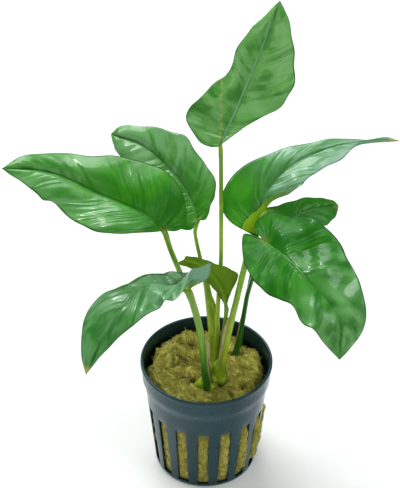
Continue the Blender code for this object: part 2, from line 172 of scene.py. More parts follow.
# route, radius at the rhizome, radius at the blade
STEMS = {
    "top": (
        (
            (3.2, -4.3, 50), (3.9, -2.5, 62), (4.5, 2.5, 84.5), (5.2, 4.5, 102), (4.9, 6, 129.5),
            (4.4, 7.3, 154),
        ),
        1.0,
        0.8,
    ),
    "left": (
        (
            (1.0, -7.8, 50.2), (-3.4, -9, 82), (-10.5, -11.5, 108), (-14.6, -13, 122),
            (-16.4, -14.2, 130.4),
        ),
        1.2,
        1.05,
    ),
    "back_left": (
        (
            (4.2, -0.8, 50.2), (2.3, 3, 70), (-0.4, 8, 87), (-3.1, 10.5, 99), (-5.2, 12.2, 110),
            (-4.6, 12.4, 114.6),
        ),
        1.4,
        0.7,
    ),
    "right": (
        (
            (5.6, -6.6, 50), (7.9, -5.6, 66.5), (10.3, -4.6, 81.5), (12.4, -3.4, 93),
            (14.9, -1.2, 106), (16.7, 1.8, 110.5), (18.2, 6.2, 111.6),
        ),
        1.3,
        1.2,
    ),
    "back_right": (
        (
            (14.4, 14, 50.2), (15.1, 12, 65), (16.5, 9.5, 81), (18.3, 7, 97), (22.1, 3.2, 115.6),
        ),
        0.9,
        0.75,
    ),
    "front_right": (
        (
            (12.6, 9.6, 50.2), (14.6, 7.5, 66), (16.3, 4.5, 85), (18.6, 1.4, 99),
            (21.2, -3.6, 117.5),
        ),
        1.1,
        0.85,
    ),
    "front_left": (
        (
            (0.2, -11.6, 50), (-0.9, -12.5, 59), (-2.3, -14.5, 78), (-5, -17, 94.6),
            (-7.4, -19.4, 105.6),
        ),
        1.5,
        1.4,
    ),
    "young": (((6.9, -2.8, 50.4), (6.6, -3, 67), (7.6, -3.8, 81.5), (7.7, -4, 84.5)), 1.0, 0.8),
}

# veins: main side veins in each half. lean: how much closer to the base a side vein starts than it ends.
# quilt: how far the blade swells between veins. arch: how far each half bulges up. wave: how uneven it is.
# bloom: how much painted sheen, a pale colour standing in for the lamps' reflection, the blade gets: at the joint
# left and right of the midrib, and at the tip left and right.
# midrib: how pale the midrib is. groove: how deep it sinks. haze: how far that painted sheen leans to bluish grey.
# fresh: how light the green under it is. skin: which of the leaf finishes the blade has.
LeafLook = namedtuple("LeafLook", "veins lean quilt arch wave bloom midrib groove haze fresh skin")

LEAF_LOOKS = {
    "top": LeafLook(8, 1.7, 0.50, 0.9, 0.7, (1.0, 1.4, 1.6, 1.6), 0.7, 0.8, 0.1, 0.3, "mature"),
    "left": LeafLook(8, 2.4, 0.60, 1.2, 0.6, (0.3, -0.4, 0.65, 0.45), 0.05, 1.0, 0.4, 0.4, "mature"),
    "back_left": LeafLook(7, 1.8, 0.60, 1.2, 0.7, (-0.1, 0.2, 1.4, 1.5), 0.25, 1.0, 0.4, 0.7, "mature"),
    "right": LeafLook(8, 2.2, 0.45, 0.8, 0.5, (-0.3, 0.9, 1.6, 1.7), 0.3, 0.7, 1.0, 0.6, "mature"),
    "back_right": LeafLook(6, 2.0, 0.35, 0.8, 0.4, (-1.0, -1.0, -0.3, 0.4), 0.5, 0.8, 0.6, 0.3, "mature"),
    "front_right": LeafLook(8, 2.4, 0.38, 0.9, 1.2, (-0.6, -1.0, 0.9, 0.7), 0.0, 0.3, 0.3, 0.1, "mature"),
    "front_left": LeafLook(7, 3.0, 0.55, 0.8, 0.5, (1.4, 1.4, 0.4, 0.6), 0.1, 0.7, 0.7, 0.2, "mature"),
    "young": LeafLook(6, 1.8, 0.15, 0.4, 0.2, (0.0, 0.0, 0.0, 0.0), 0.3, 0.8, 0.0, 0.3, "young"),
}

# Where a half's outer part curls over. hand: -1 left, 1 right. ridge: the bend's place as (along, out).
# radius: how tightly it bends. turn: how far round, upwards when positive.
Curl = namedtuple("Curl", "hand ridge radius turn")

CURLS = {
    "right": Curl(1, ((-20, 0), (9, 0), (16, 3.4), (23, 7.4), (31, 10), (38, 30)), 1.2, 140),
    "front_left": Curl(1, ((2, 30), (6, 6), (10, 3.6), (16, 2.6), (22, 2.8), (27, 6), (33, 12), (38, 30)), 1.8, -42),
}

BLADE_ROWS = 130
HALF_COLUMNS = 26
VEIN_NET = 3  # fine side veins for each main one
RIB_LENGTH = 6.0  # how far a stalk runs on under its blade


# Small tools --------------------------------------------------------------------------------------


def smooth_line(points, count):
    """count points, evenly spaced by length, on a smooth line through the given points."""
    knots = np.array(points, float)
    knots = np.vstack([2 * knots[0] - knots[1], knots, 2 * knots[-1] - knots[-2]])
    t = np.linspace(0, 1, 24, endpoint=False)[:, None]
    pieces = []
    for before, start, end, after in zip(knots, knots[1:], knots[2:], knots[3:]):
        bend = 2 * before - 5 * start + 4 * end - after
        twist = 3 * start - before - 3 * end + after
        pieces.append(0.5 * (2 * start + (end - before) * t + bend * t**2 + twist * t**3))
    line = np.vstack([*pieces, knots[-2:-1]])
    run = np.concatenate([[0], np.cumsum(np.linalg.norm(np.diff(line, axis=0), axis=1))])
    wanted = np.linspace(0, run[-1], count)
    return np.stack([np.interp(wanted, run, column) for column in line.T], axis=1)


def ease(a):
    a = np.clip(a, 0.0, 1.0)
    return a * a * (3 - 2 * a)


def eased_steps(value, stations, amounts):
    """Runs through the amounts at the stations, easing from each to the next."""
    stations, amounts = np.array(stations, float), np.array(amounts, float)
    value = np.clip(value, stations[0], stations[-1])
    number = np.clip(np.searchsorted(stations, value, side="right") - 1, 0, len(stations) - 2)
    share = (value - stations[number]) / (stations[number + 1] - stations[number])
    return amounts[number] + (amounts[number + 1] - amounts[number]) * ease(share)


def unit(vectors):
    return vectors / np.maximum(np.linalg.norm(vectors, axis=-1, keepdims=True), 1e-9)


def ripple(x, y, wavelength, seed, waves=7):
    """A smooth unevenness of about -1 to 1 over the plane, with no direction of its own."""
    draw = np.random.default_rng(seed)
    total = 0.0
    for _ in range(waves):
        turn, phase = draw.uniform(0, math.tau, 2)
        length = wavelength * draw.uniform(0.7, 1.5)
        total = total + np.sin(math.tau * (x * math.cos(turn) + y * math.sin(turn)) / length + phase)
    return total / math.sqrt(waves)


def finished_object(name, bm, materials, replaced=(), angle=None):
    """Links the bmesh, drawn in millimetres, as a smooth piece in metres that rides on the pot."""
    bmesh.ops.scale(bm, vec=(MM, MM, MM), verts=bm.verts)
    mesh = bpy.data.meshes.new(name)
    bm.to_mesh(mesh)
    bm.free()
    mesh.shade_smooth()
    if angle is not None:
        mesh.set_sharp_from_angle(angle=math.radians(angle))
    for material in materials:
        mesh.materials.append(material)
    obj = bpy.data.objects.new(name, mesh)
    bpy.context.scene.collection.objects.link(obj)
    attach(obj, BODY)
    if replaced:
        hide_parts(*replaced)
    return obj


def places(bm):
    return np.array([vert.co for vert in bm.verts])


def move_to(bm, points):
    for vert, point in zip(bm.verts, points):
        vert.co = point


def mark(bm, name, values):
    """Keeps a number at each vertex for the materials to read."""
    layer = bm.verts.layers.float.new(name)
    for vert, value in zip(bm.verts, values):
        vert[layer] = value


def draw_uv(bm, u, v):
    layer = bm.loops.layers.uv.new("skin")
    bm.verts.index_update()
    for face in bm.faces:
        for loop in face.loops:
            loop[layer].uv = (u[loop.vert.index], v[loop.vert.index])


def slab(rows, columns):
    """A closed slab of one by one by one, gridded above and below: x and y from 0 to 1, z 0 below, 1 above."""
    bm = bmesh.new()
    centre = Matrix.Translation((0.5, 0.5, 0))
    bmesh.ops.create_grid(bm, x_segments=rows, y_segments=columns, size=0.5, matrix=centre)
    raised = bmesh.ops.extrude_face_region(bm, geom=bm.faces[:])["geom"]
    verts = [item for item in raised if isinstance(item, bmesh.types.BMVert)]
    bmesh.ops.translate(bm, verts=verts, vec=(0, 0, 1))
    bmesh.ops.recalc_face_normals(bm, faces=bm.faces[:])
    return bm


def tube(centres, radii, sides, flatten=None):
    """A closed tube round a line of points. radii are given at each point; a 0 closes an end.

    Returns the bmesh, which keeps each vertex's share of the length and of the way round in its UV map, and the
    share of the length also as length_share.
    """
    centres, radii = np.array(centres, float), np.array(radii, float)
    bm = bmesh.new()
    centre = Matrix.Translation((0.5, 0.5, 0))
    rows = len(centres) - 1
    bmesh.ops.create_grid(bm, x_segments=rows, y_segments=sides, size=0.5, matrix=centre)
    flat = places(bm)
    number = np.rint(flat[:, 0] * rows).astype(int)
    turn = flat[:, 1] * math.tau
    heading = unit(np.gradient(centres, axis=0))
    side = np.zeros_like(heading)
    side[0] = unit(np.cross(heading[0], (0.31, -0.95, 0.05)))
    for row in range(1, rows + 1):
        side[row] = side[row - 1] - heading[row] * (side[row - 1] @ heading[row])
        side[row] = unit(side[row])
    up = np.cross(heading, side)
    out = side[number] * np.cos(turn)[:, None] + up[number] * np.sin(turn)[:, None]
    radius = radii[number]
    if flatten is not None:
        radius = radius * flatten(flat[:, 0], turn)
    move_to(bm, centres[number] + out * radius[:, None])
    mark(bm, "length_share", flat[:, 0])
    draw_uv(bm, flat[:, 0], flat[:, 1])
    bmesh.ops.remove_doubles(bm, verts=bm.verts[:], dist=1e-4)
    bmesh.ops.recalc_face_normals(bm, faces=bm.faces[:])
    return bm


def turned(profile, steps):
    """A closed solid turned about Z from a profile of (radius, height) that starts and ends on the axis."""
    bm = bmesh.new()
    verts = [bm.verts.new((radius, 0, height)) for radius, height in profile]
    edges = [bm.edges.new(pair) for pair in zip(verts, verts[1:])]
    bmesh.ops.spin(
        bm,
        geom=verts + edges,
        cent=(0, 0, 0),
        axis=(0, 0, 1),
        angle=math.tau,
        steps=steps,
        use_merge=True,
    )
    bmesh.ops.remove_doubles(bm, verts=bm.verts[:], dist=1e-4)
    bmesh.ops.recalc_face_normals(bm, faces=bm.faces[:])
    return bm


# Finishes -----------------------------------------------------------------------------------------


class Finish:
    """A material, with short ways to add to its nodes."""

    def __init__(self, name, **constants):
        self.material = bpy.data.materials.new(name)
        self.material.use_nodes = True
        self.tree = self.material.node_tree
        self.shader = self.tree.nodes["Principled BSDF"]
        for socket, value in constants.items():
            self.shader.inputs[socket.replace("_", " ")].default_value = value

    def add(self, kind, inputs=None, **settings):
        node = self.tree.nodes.new(kind)
        for key, value in settings.items():
            setattr(node, key, value)
        for key, value in (inputs or {}).items():
            self.set(node.inputs[key], value)
        return node

    def set(self, socket, value):
        if isinstance(value, bpy.types.NodeSocket):
            self.tree.links.new(value, socket)
        else:
            socket.default_value = value

    def math(self, operation, *values):
        return self.add("ShaderNodeMath", dict(enumerate(values)), operation=operation).outputs[0]

    def span(self, value, low, high, to_low=0.0, to_high=1.0):
        """Eases from to_low to to_high as the value goes from low to high."""
        inputs = {"Value": value, "From Min": low, "From Max": high, "To Min": to_low, "To Max": to_high}
        kind = "ShaderNodeMapRange"
        return self.add(kind, inputs, interpolation_type="SMOOTHSTEP").outputs["Result"]

    def mix(self, share, first, second, blend="MIX"):
        node = self.add("ShaderNodeMix", data_type="RGBA", blend_type=blend)
        self.set(node.inputs[0], share)
        self.set(node.inputs[6], first)
        self.set(node.inputs[7], second)
        return node.outputs[2]

    def number(self, name):
        return self.add("ShaderNodeAttribute", attribute_name=name).outputs["Fac"]

    def on_object(self, scale=(1, 1, 1), turn=(0, 0, 0)):
        """Object coordinates, stretched to follow a grain."""
        place = self.add("ShaderNodeTexCoord").outputs["Object"]
        turn = [math.radians(angle) for angle in turn]
        return self.add("ShaderNodeMapping", {"Vector": place, "Scale": scale, "Rotation": turn}).outputs[0]

    def noise(self, grain, detail=3.0, place=None, roughness=0.5, distortion=0.0):
        """Noise with lumps about this many millimetres across."""
        inputs = {
            "Vector": place or self.on_object(),
            "Scale": 1 / (grain * MM),
            "Detail": detail,
            "Roughness": roughness,
            "Distortion": distortion,
        }
        return self.add("ShaderNodeTexNoise", inputs).outputs["Fac"]

    def cells(self, grain, place=None, feature="DISTANCE_TO_EDGE"):
        inputs = {"Vector": place or self.on_object(), "Scale": 1 / (grain * MM)}
        return self.add("ShaderNodeTexVoronoi", inputs, feature=feature).outputs["Distance"]

    def colour(self, value):
        self.set(self.shader.inputs["Base Color"], value)

    def roughness(self, value):
        self.set(self.shader.inputs["Roughness"], value)

    def coat(self, value):
        self.set(self.shader.inputs["Coat Weight"], value)

    def bump(self, height, depth, strength=1.0, onto=None):
        """Bump this many millimetres deep."""
        inputs = {"Height": height, "Distance": depth * MM, "Strength": strength}
        if onto:
            inputs["Normal"] = onto
        normal = self.add("ShaderNodeBump", inputs).outputs["Normal"]
        self.set(self.shader.inputs["Normal"], normal)
        return normal


def shade(colour, factor):
    return (*(min(1.0, channel * factor) for channel in colour[:3]), 1.0)


def leaf_finish(name, deep, fresh, waxy_sheen, haze, underside, ripe):
    """Waxy green blade: sunken veins, streaks along them, a fine net between, a dull yellow-green underside, and a
    painted sheen, pale green to bluish grey, that stands in for the lamps' reflection on the wax.
    """
    skin = Finish(name, Coat_Roughness=0.1, IOR=1.5)
    skin.shader.inputs["Specular IOR Level"].default_value = 0.3
    under, reach, rib = skin.number("under"), skin.number("reach"), skin.number("rib")
    vein = skin.number("vein")

    def near_line(count, width):
        place = skin.math("FRACT", skin.math("MULTIPLY_ADD", vein, count, 0.5))
        gap = skin.math("ABSOLUTE", skin.math("SUBTRACT", place, 0.5))
        return skin.span(gap, 0.0, width * count, 1.0, 0.0)

    def along_veins(grain, detail):
        """Noise drawn out along the veins, with this many veins to a lump."""
        depth = skin.add("ShaderNodeSeparateXYZ", {0: skin.on_object(scale=(30, 30, 30))}).outputs["Z"]
        place = skin.add(
            "ShaderNodeCombineXYZ", {0: vein, 1: skin.math("MULTIPLY", reach, 0.6), 2: depth}
        ).outputs[0]
        inputs = {"Vector": place, "Scale": 1 / grain, "Detail": detail}
        return skin.add("ShaderNodeTexNoise", inputs).outputs["Fac"]

    main_line, fine_line = near_line(1.0, 0.05), near_line(float(VEIN_NET), 0.03)
    patches = skin.noise(12.0, 3.0)
    streaks = along_veins(0.45, 3.0)
    lush = skin.math("ADD", skin.span(streaks, 0.35, 0.68, 0.0, 0.6), skin.number("fresh"))
    upper = skin.mix(lush, deep, fresh)
    upper = skin.mix(skin.span(patches, 0.42, 0.7, 0.0, 0.35), upper, shade(deep, 0.8))
    upper = skin.mix(skin.math("MULTIPLY", skin.noise(1.8, 4.0), 0.15), upper, shade(deep, 0.55))
    upper = skin.mix(skin.math("MULTIPLY", fine_line, 0.15), upper, shade(deep, 0.5))
    upper = skin.mix(skin.math("MULTIPLY", main_line, 0.2), upper, shade(fresh, 1.3))
    # Painted sheen: a pale green to bluish grey colour laid over the upper side where the lamps' reflection would
    # be, broken up in streaks along the veins and in patches.
    sheen_amount = skin.number("bloom")
    bloom = skin.math("MULTIPLY", sheen_amount, skin.span(streaks, 0.34, 0.64, 0.35, 1.15))
    bloom = skin.math("MULTIPLY", bloom, skin.span(skin.noise(9.0, 3.0), 0.36, 0.5, 0.5, 1.0))
    upper = skin.mix(bloom, upper, skin.mix(skin.number("haze"), waxy_sheen, haze))
    midrib = skin.math("MULTIPLY", skin.span(rib, 0.75, 0.3), skin.number("midrib"))
    upper = skin.mix(midrib, upper, shade(haze, 1.2))
    lower = skin.mix(skin.span(patches, 0.3, 0.7), shade(underside, 0.8), underside)
    lower = skin.mix(skin.math("MULTIPLY", main_line, 0.4), lower, shade(underside, 1.35))
    # Painted sheen on the underside as well, where the sheen amount is highest.
    lower = skin.mix(skin.span(sheen_amount, 0.9, 1.3), lower, shade(haze, 0.9))
    keel = skin.math("MULTIPLY", skin.span(rib, 1.2, 0.5), skin.number("midrib"))
    lower = skin.mix(keel, lower, shade(underside, 1.5))
    colour = skin.mix(under, upper, lower)
    colour = skin.mix(skin.number("ripe"), colour, ripe)
    edge = skin.math("MULTIPLY", skin.span(reach, 0.965, 1.0), skin.math("SUBTRACT", 0.75, under))
    colour = skin.mix(edge, colour, (0.03, 0.04, 0.025, 1.0))
    skin.colour(colour)
    worn = skin.span(skin.noise(6.0, 4.0), 0.3, 0.75, 0.33, 0.43)
    worn = skin.math("ADD", worn, skin.span(sheen_amount, -0.1, -0.9, 0.0, 0.28))
    skin.roughness(skin.math("MULTIPLY_ADD", under, 0.15, worn))
    wet = skin.span(skin.noise(9.0, 3.0), 0.42, 0.58, 0.15, 1.0)
    wet = skin.math("MULTIPLY", wet, skin.span(sheen_amount, -0.5, 0.9, 0.25, 1.0))
    skin.coat(skin.math("MULTIPLY", wet, skin.math("SUBTRACT", 1.0, under)))
    net = skin.span(skin.cells(1.1), 0.0, 0.25)
    relief = skin.math("ADD", skin.math("MULTIPLY", net, 0.4), skin.noise(0.7, 3.0))
    first = skin.bump(along_veins(0.16, 2.0), 0.16, 0.8)
    skin.bump(relief, 0.05, 0.6, onto=first)
    return skin.material


def stalk_finish(name, low, high, dark, foot_share):
    """Smooth green stalk, yellower at its foot, with fine lengthwise streaks."""
    skin = Finish(name, Coat_Weight=0.45, Coat_Roughness=0.16, IOR=1.45)
    skin.shader.inputs["Specular IOR Level"].default_value = 0.25
    share = skin.number("length_share")
    grain = skin.noise(1.2, 4.0, skin.on_object(scale=(3.0, 3.0, 0.12)))
    colour = skin.mix(skin.span(share, 0.3 * foot_share, foot_share), low, high)
    broad = skin.noise(2.4, 2.0, skin.on_object(scale=(1.0, 1.0, 0.05)))
    colour = skin.mix(skin.span(broad, 0.42, 0.6, 0.0, 0.45), colour, dark)
    colour = skin.mix(skin.span(grain, 0.45, 0.72, 0.0, 0.4), colour, dark)
    colour = skin.mix(skin.span(skin.noise(6.0, 3.0), 0.5, 0.8, 0.0, 0.35), colour, shade(low, 1.2))
    skin.colour(colour)
    skin.roughness(skin.span(grain, 0.3, 0.7, 0.26, 0.42))
    skin.bump(grain, 0.06, 0.6)
    return skin.material


def sheath_finish(name, pale, stain):
    """Papery sheath with brown lengthwise stains and a brown edge."""
    skin = Finish(name, IOR=1.4)
    grain = skin.noise(0.9, 5.0, skin.on_object(scale=(3.0, 3.0, 0.15)))
    colour = skin.mix(skin.span(grain, 0.45, 0.72, 0.0, 0.8), pale, stain)
    edge = skin.span(skin.number("reach"), 0.8, 1.0, 0.0, 0.7)
    skin.colour(skin.mix(edge, colour, shade(stain, 0.4)))
    skin.roughness(skin.span(grain, 0.3, 0.7, 0.35, 0.6))
    skin.bump(grain, 0.08, 0.7)
    return skin.material


def rhizome_finish(name, green, yellow):
    """Waxy yellow-green crown with brown leaf scars, and painted shade at its foot."""
    skin = Finish(name, Coat_Weight=0.15, Coat_Roughness=0.25, IOR=1.45)
    patches = skin.noise(3.5, 4.0)
    colour = skin.mix(skin.span(patches, 0.38, 0.62), green, yellow)
    scars = skin.span(skin.noise(1.6, 5.0, distortion=0.8), 0.6, 0.76, 0.0, 0.5)
    colour = skin.mix(scars, colour, (0.12, 0.075, 0.02, 1.0))
    colour = skin.mix(skin.span(skin.noise(2.2, 3.0), 0.55, 0.7, 0.0, 0.6), colour, (0.50, 0.60, 0.20, 1.0))
    # Painted shade: darker brown towards the crown's foot, where it sinks into the wool.
    place = skin.add("ShaderNodeSeparateXYZ", {0: skin.on_object()}).outputs["Z"]
    colour = skin.mix(skin.span(place, 0.0482, 0.0462, 0.0, 0.75), colour, (0.09, 0.075, 0.02, 1.0))
    skin.colour(colour)
    skin.roughness(skin.span(patches, 0.3, 0.7, 0.3, 0.5))
    skin.bump(skin.noise(1.2, 5.0), 0.18, 0.6)
    return skin.material


def wool_finish(name, light, dark, fibre=False):
    """Matted mineral wool: olive brown streaks in swirls, with painted shade in its folds."""
    skin = Finish(name, IOR=1.35)
    skin.shader.inputs["Specular IOR Level"].default_value = 0.15
    skin.shader.inputs["Sheen Weight"].default_value = 0.15
    skin.shader.inputs["Sheen Roughness"].default_value = 0.6
    place = skin.on_object()
    warp = skin.add("ShaderNodeTexNoise", {"Vector": place, "Scale": 110.0, "Detail": 2.0}).outputs["Color"]
    bent = skin.add("ShaderNodeVectorMath", {0: warp, 1: (0.5, 0.5, 0.5)}, operation="SUBTRACT").outputs[0]
    bent = skin.add("ShaderNodeVectorMath", {0: bent, "Scale": 0.02}, operation="SCALE").outputs[0]
    bent = skin.add("ShaderNodeVectorMath", {0: place, 1: bent}, operation="ADD").outputs[0]
    inputs = {"Vector": bent, "Scale": (1.0, 0.16, 0.35), "Rotation": (0.2, 0.3, 0.7)}
    along = skin.add("ShaderNodeMapping", inputs).outputs[0]
    streaks = skin.noise(1.0, 6.0, along, roughness=0.62)
    clumps = skin.noise(5.0, 4.0, distortion=0.8)
    colour = skin.mix(skin.span(streaks, 0.34, 0.64), dark, light)
    colour = skin.mix(skin.span(clumps, 0.35, 0.6, 0.45, 0.0), colour, shade(dark, 0.8))
    colour = skin.mix(skin.span(skin.noise(2.2, 4.0), 0.56, 0.75, 0.0, 0.55), colour, shade(light, 1.4))
    # Painted shade in the creases and hollows and along the rim by the pot's wall; the loose fibres get none.
    if not fibre:
        colour = skin.mix(skin.math("MULTIPLY", skin.number("fold"), 0.85), colour, shade(dark, 0.3))
    skin.colour(colour)
    skin.roughness(skin.span(streaks, 0.3, 0.7, 0.8, 1.0))
    first = skin.bump(streaks, 0.6, 1.0)
    skin.bump(skin.noise(0.35, 3.0, along), 0.2, 0.7, onto=first)
    return skin.material


def plastic_finish(name, colour):
    """Satin moulded plastic: faint flow marks, fine scratches, dust and damp smears, and painted shade on its inner
    faces.
    """
    skin = Finish(name, IOR=1.5, Coat_Weight=0.3, Coat_Roughness=0.16)
    skin.shader.inputs["Specular IOR Level"].default_value = 0.35
    clouds = skin.noise(14.0, 3.0, skin.on_object(scale=(1.0, 1.0, 0.5)))
    dust = skin.noise(2.5, 6.0, roughness=0.7)
    tone = skin.mix(skin.span(clouds, 0.3, 0.7), shade(colour, 0.82), shade(colour, 1.2))
    tone = skin.mix(skin.span(dust, 0.6, 0.85, 0.0, 0.12), tone, shade(colour, 2.0))
    scratch = skin.noise(0.6, 2.0, skin.on_object(scale=(1.0, 1.0, 14.0)))
    tone = skin.mix(skin.span(scratch, 0.66, 0.8, 0.0, 0.12), tone, shade(colour, 2.4))
    # Painted shade: the inner faces of the wall and floor are painted much darker.
    skin.colour(skin.mix(skin.number("inside"), tone, shade(colour, 0.25)))
    smear = skin.noise(6.0, 4.0, skin.on_object(scale=(1.0, 1.0, 0.4)))
    skin.roughness(skin.span(smear, 0.3, 0.75, 0.2, 0.4))
    first = skin.bump(clouds, 0.25, 0.5)
    skin.bump(skin.noise(0.5, 3.0), 0.02, 0.5, onto=first)
    return skin.material


# Leaf blades --------------------------------------------------------------------------------------


class Blade:
    """A blade drawn flat beside a straight midrib, then laid along the midrib's real course."""

    STEPS = 400
    REACH = 2.5  # half the stretch over which the midrib's heading is read

    def __init__(self, leaf, lean=1.7, curl=None):
        self.lean, self.curl, self.scallop = lean, curl, 0.25
        self.rib = smooth_line(leaf.midrib, self.STEPS)
        self.run = np.concatenate([[0], np.cumsum(np.linalg.norm(np.diff(self.rib, axis=0), axis=1))])
        self.length = float(self.run[-1])
        tip = (self.length, 0)
        self.margins = {
            -1: smooth_line([(0, 0), *leaf.left, tip], self.STEPS),
            1: smooth_line([(0, 0), *leaf.right, tip], self.STEPS),
        }
        self.folds = {-1: leaf.left_fold, 1: leaf.right_fold}
        self.face = unit(np.array(leaf.face, float))

    def on_rib(self, along):
        """Points on the midrib, which runs on straight past both its ends."""
        inside = np.clip(along, 0, self.length)
        place = np.stack([np.interp(inside, self.run, column) for column in self.rib.T], axis=-1)
        start, end = unit(self.rib[12] - self.rib[0]), unit(self.rib[-1] - self.rib[-13])
        ends = np.where((along < self.length / 2)[..., None], start, end)
        return place + ends * (along - inside)[..., None]

    def axes(self, along):
        """The midrib's heading, the leaf's right side and its upper side."""
        heading = unit(self.on_rib(along + self.REACH) - self.on_rib(along - self.REACH))
        side = unit(np.cross(heading, self.face))
        return heading, side, np.cross(side, heading)

    def flat(self, share, across):
        """Flat (along, out) of points this far across, from -1 at the left margin to 1 at the right.

        The margins wander a little in the blade's own plane.
        """
        steps = np.linspace(0, 1, self.STEPS)
        right = across >= 0
        ends = [
            np.where(right, np.interp(share, steps, self.margins[1][:, axis]), np.interp(share, steps, self.margins[-1][:, axis]))
            for axis in (0, 1)
        ]
        start = self.length * share**self.lean
        reach = np.abs(across)
        scallop = self.scallop * ripple(share * 60 + np.where(right, 0, 31), 0 * share, 7, 3)
        scallop = scallop * ease(share / 0.1) * ease((1 - share) / 0.15) * reach**4
        return start + (ends[0] - start) * reach**VEIN_SWEEP, ends[1] * reach + scallop

    def laid(self, share, across, lift):
        """Points in space, lifted from the blade by lift along its upper side."""
        along, out = self.flat(share, across)
        _, side, up = self.axes(along)
        hand = np.where(across > 0, 1.0, np.where(across < 0, -1.0, 0.0))
        along_share = along / self.length
        fold = np.where(
            across >= 0,
            eased_steps(along_share, FOLD_STATIONS, self.folds[1]),
            eased_steps(along_share, FOLD_STATIONS, self.folds[-1]),
        )
        angle = np.radians(np.where(across == 0, 0.0, fold))
        cos, sin = np.cos(angle)[..., None], np.sin(angle)[..., None]
        hand = hand[..., None]
        outward = hand * cos * side + sin * up
        upper = cos * up - hand * sin * side
        out, rise, turn = self.curled(along, out, across)
        place = self.on_rib(along) + out[..., None] * outward + rise[..., None] * upper
        return place + lift[..., None] * (np.cos(turn)[..., None] * upper - np.sin(turn)[..., None] * outward)

    def curled(self, along, out, across):
        """Where a curl takes a half's outer part: how far out and up, and the angle that it has turned."""
        if self.curl is None:
            return out, 0 * out, 0 * out
        radius, full = self.curl.radius, math.radians(abs(self.curl.turn))
        sign = math.copysign(1, self.curl.turn)
        ridge = np.interp(along, *zip(*self.curl.ridge))
        past = np.where(across * self.curl.hand > 0, np.maximum(out - ridge, 0), 0)
        turn = np.minimum(past / radius, full)
        rest = past - turn * radius
        flat = out - past + radius * np.sin(turn) + rest * math.cos(full)
        return flat, sign * (radius * (1 - np.cos(turn)) + rest * math.sin(full)), sign * turn


def column_places():
    """Where the columns of a blade lie across it: close together at the midrib and the margins."""
    t = np.linspace(0, 1, HALF_COLUMNS + 1)
    half = 0.45 * t**2.2 + 0.55 * (1 - (1 - t) ** 1.35)
    return np.concatenate([-half[::-1], half[1:]])


def build_blade(name, leaf, look, settings, material, seed):
    """One leaf blade: quilted between its veins, grooved above its midrib and keeled under it."""
    blade = Blade(leaf, look.lean, CURLS.get(name))
    bm = slab(BLADE_ROWS, 2 * HALF_COLUMNS)
    flat = places(bm)
    share = flat[:, 0]
    column = np.rint(flat[:, 1] * 2 * HALF_COLUMNS).astype(int)
    across = -column_places()[column]
    above = flat[:, 2]
    reach = np.abs(across)
    along, out = blade.flat(share, across)
    right = across >= 0
    near_ends = ease(share / 0.05) * ease((1 - share) / 0.06)

    stagger = np.where(right, 0.0, 0.37)
    drift = 0.22 * np.sin(share * 17 + seed) + 0.16 * np.sin(share * 31 + 2 * seed + stagger * 9)
    vein = look.veins * share**0.88 + stagger + drift
    between = vein - np.floor(vein)
    pillow = np.sqrt(np.maximum(4 * between * (1 - between), 0)) - 0.6
    fine = np.sin(math.tau * vein * VEIN_NET)
    swell = np.clip(np.sin(math.pi * reach**0.8), 0, 1) ** 0.7
    strength = 0.75 + 0.45 * ripple(vein, reach * 2, 3.1, seed + 5)
    quilt = settings.quilt * look.quilt * swell * near_ends * (pillow * strength + 0.2 * fine)

    arch = look.arch * 4 * reach * (1 - reach) * near_ends
    wave = look.wave * ripple(along, out * np.where(right, 1, -1), 22, seed) * ease(out / 8) * near_ends
    frill = 0.3 * look.wave * ripple(along, out * 0, 9, seed + 9) * ease((reach - 0.7) / 0.3) * near_ends

    rib_width = 0.35 + 0.75 * (1 - np.clip(along / blade.length, 0, 1))
    rib = out / rib_width
    thick = settings.blade_thickness / MM * (0.25 + 0.55 * ease((1 - reach) / 0.3))
    groove = rib_width * (0.28 * np.exp(-((rib / 0.4) ** 2)) - 0.12 * np.exp(-(((rib - 0.95) / 0.4) ** 2)))
    groove = look.groove * groove
    keel = 0.95 * rib_width * np.exp(-((rib / 0.8) ** 2))
    lift = quilt + arch + wave + frill
    lift = lift + np.where(above > 0.5, thick / 2 - groove, -thick / 2 - keel * ease(share / 0.02))

    points = blade.laid(share, across, lift)
    move_to(bm, points)
    mark(bm, "under", 1 - above)
    mark(bm, "reach", reach)
    mark(bm, "vein", vein)
    mark(bm, "rib", rib)
    # Painted sheen: how much of it each part of the blade gets, eased between the amounts at the joint and at the
    # tip.
    ends = look.bloom
    to_right = ease((across + 0.35) / 0.7)
    to_tip = ease(along / blade.length * 1.3)
    pale = ends[0] * (1 - to_right) * (1 - to_tip) + ends[1] * to_right * (1 - to_tip)
    pale = pale + ends[2] * (1 - to_right) * to_tip + ends[3] * to_right * to_tip
    # Parts that a curl turns down and away from the lamps get no painted sheen and a duller finish.
    _, _, turn = blade.curled(along, out, across)
    pale = np.where(turn < -0.25, -0.5, pale)
    # The painted sheen thins beside the midrib, less so where the midrib is pale.
    mark(bm, "bloom", pale * (1 - 0.5 * np.exp(-((out / 3.5) ** 2)) * (1 - look.midrib)))
    mark(bm, "ripe", ripeness(name, along / blade.length, out, across, points))
    for trait in ("midrib", "haze", "fresh"):
        mark(bm, trait, np.full(len(points), getattr(look, trait)))
    draw_uv(bm, share, (across + 1) / 2)
    bmesh.ops.remove_doubles(bm, verts=bm.verts[:], dist=1e-3)
    return finished_object(f"blade_{name}", bm, [material], [f"leaf_{name}"])


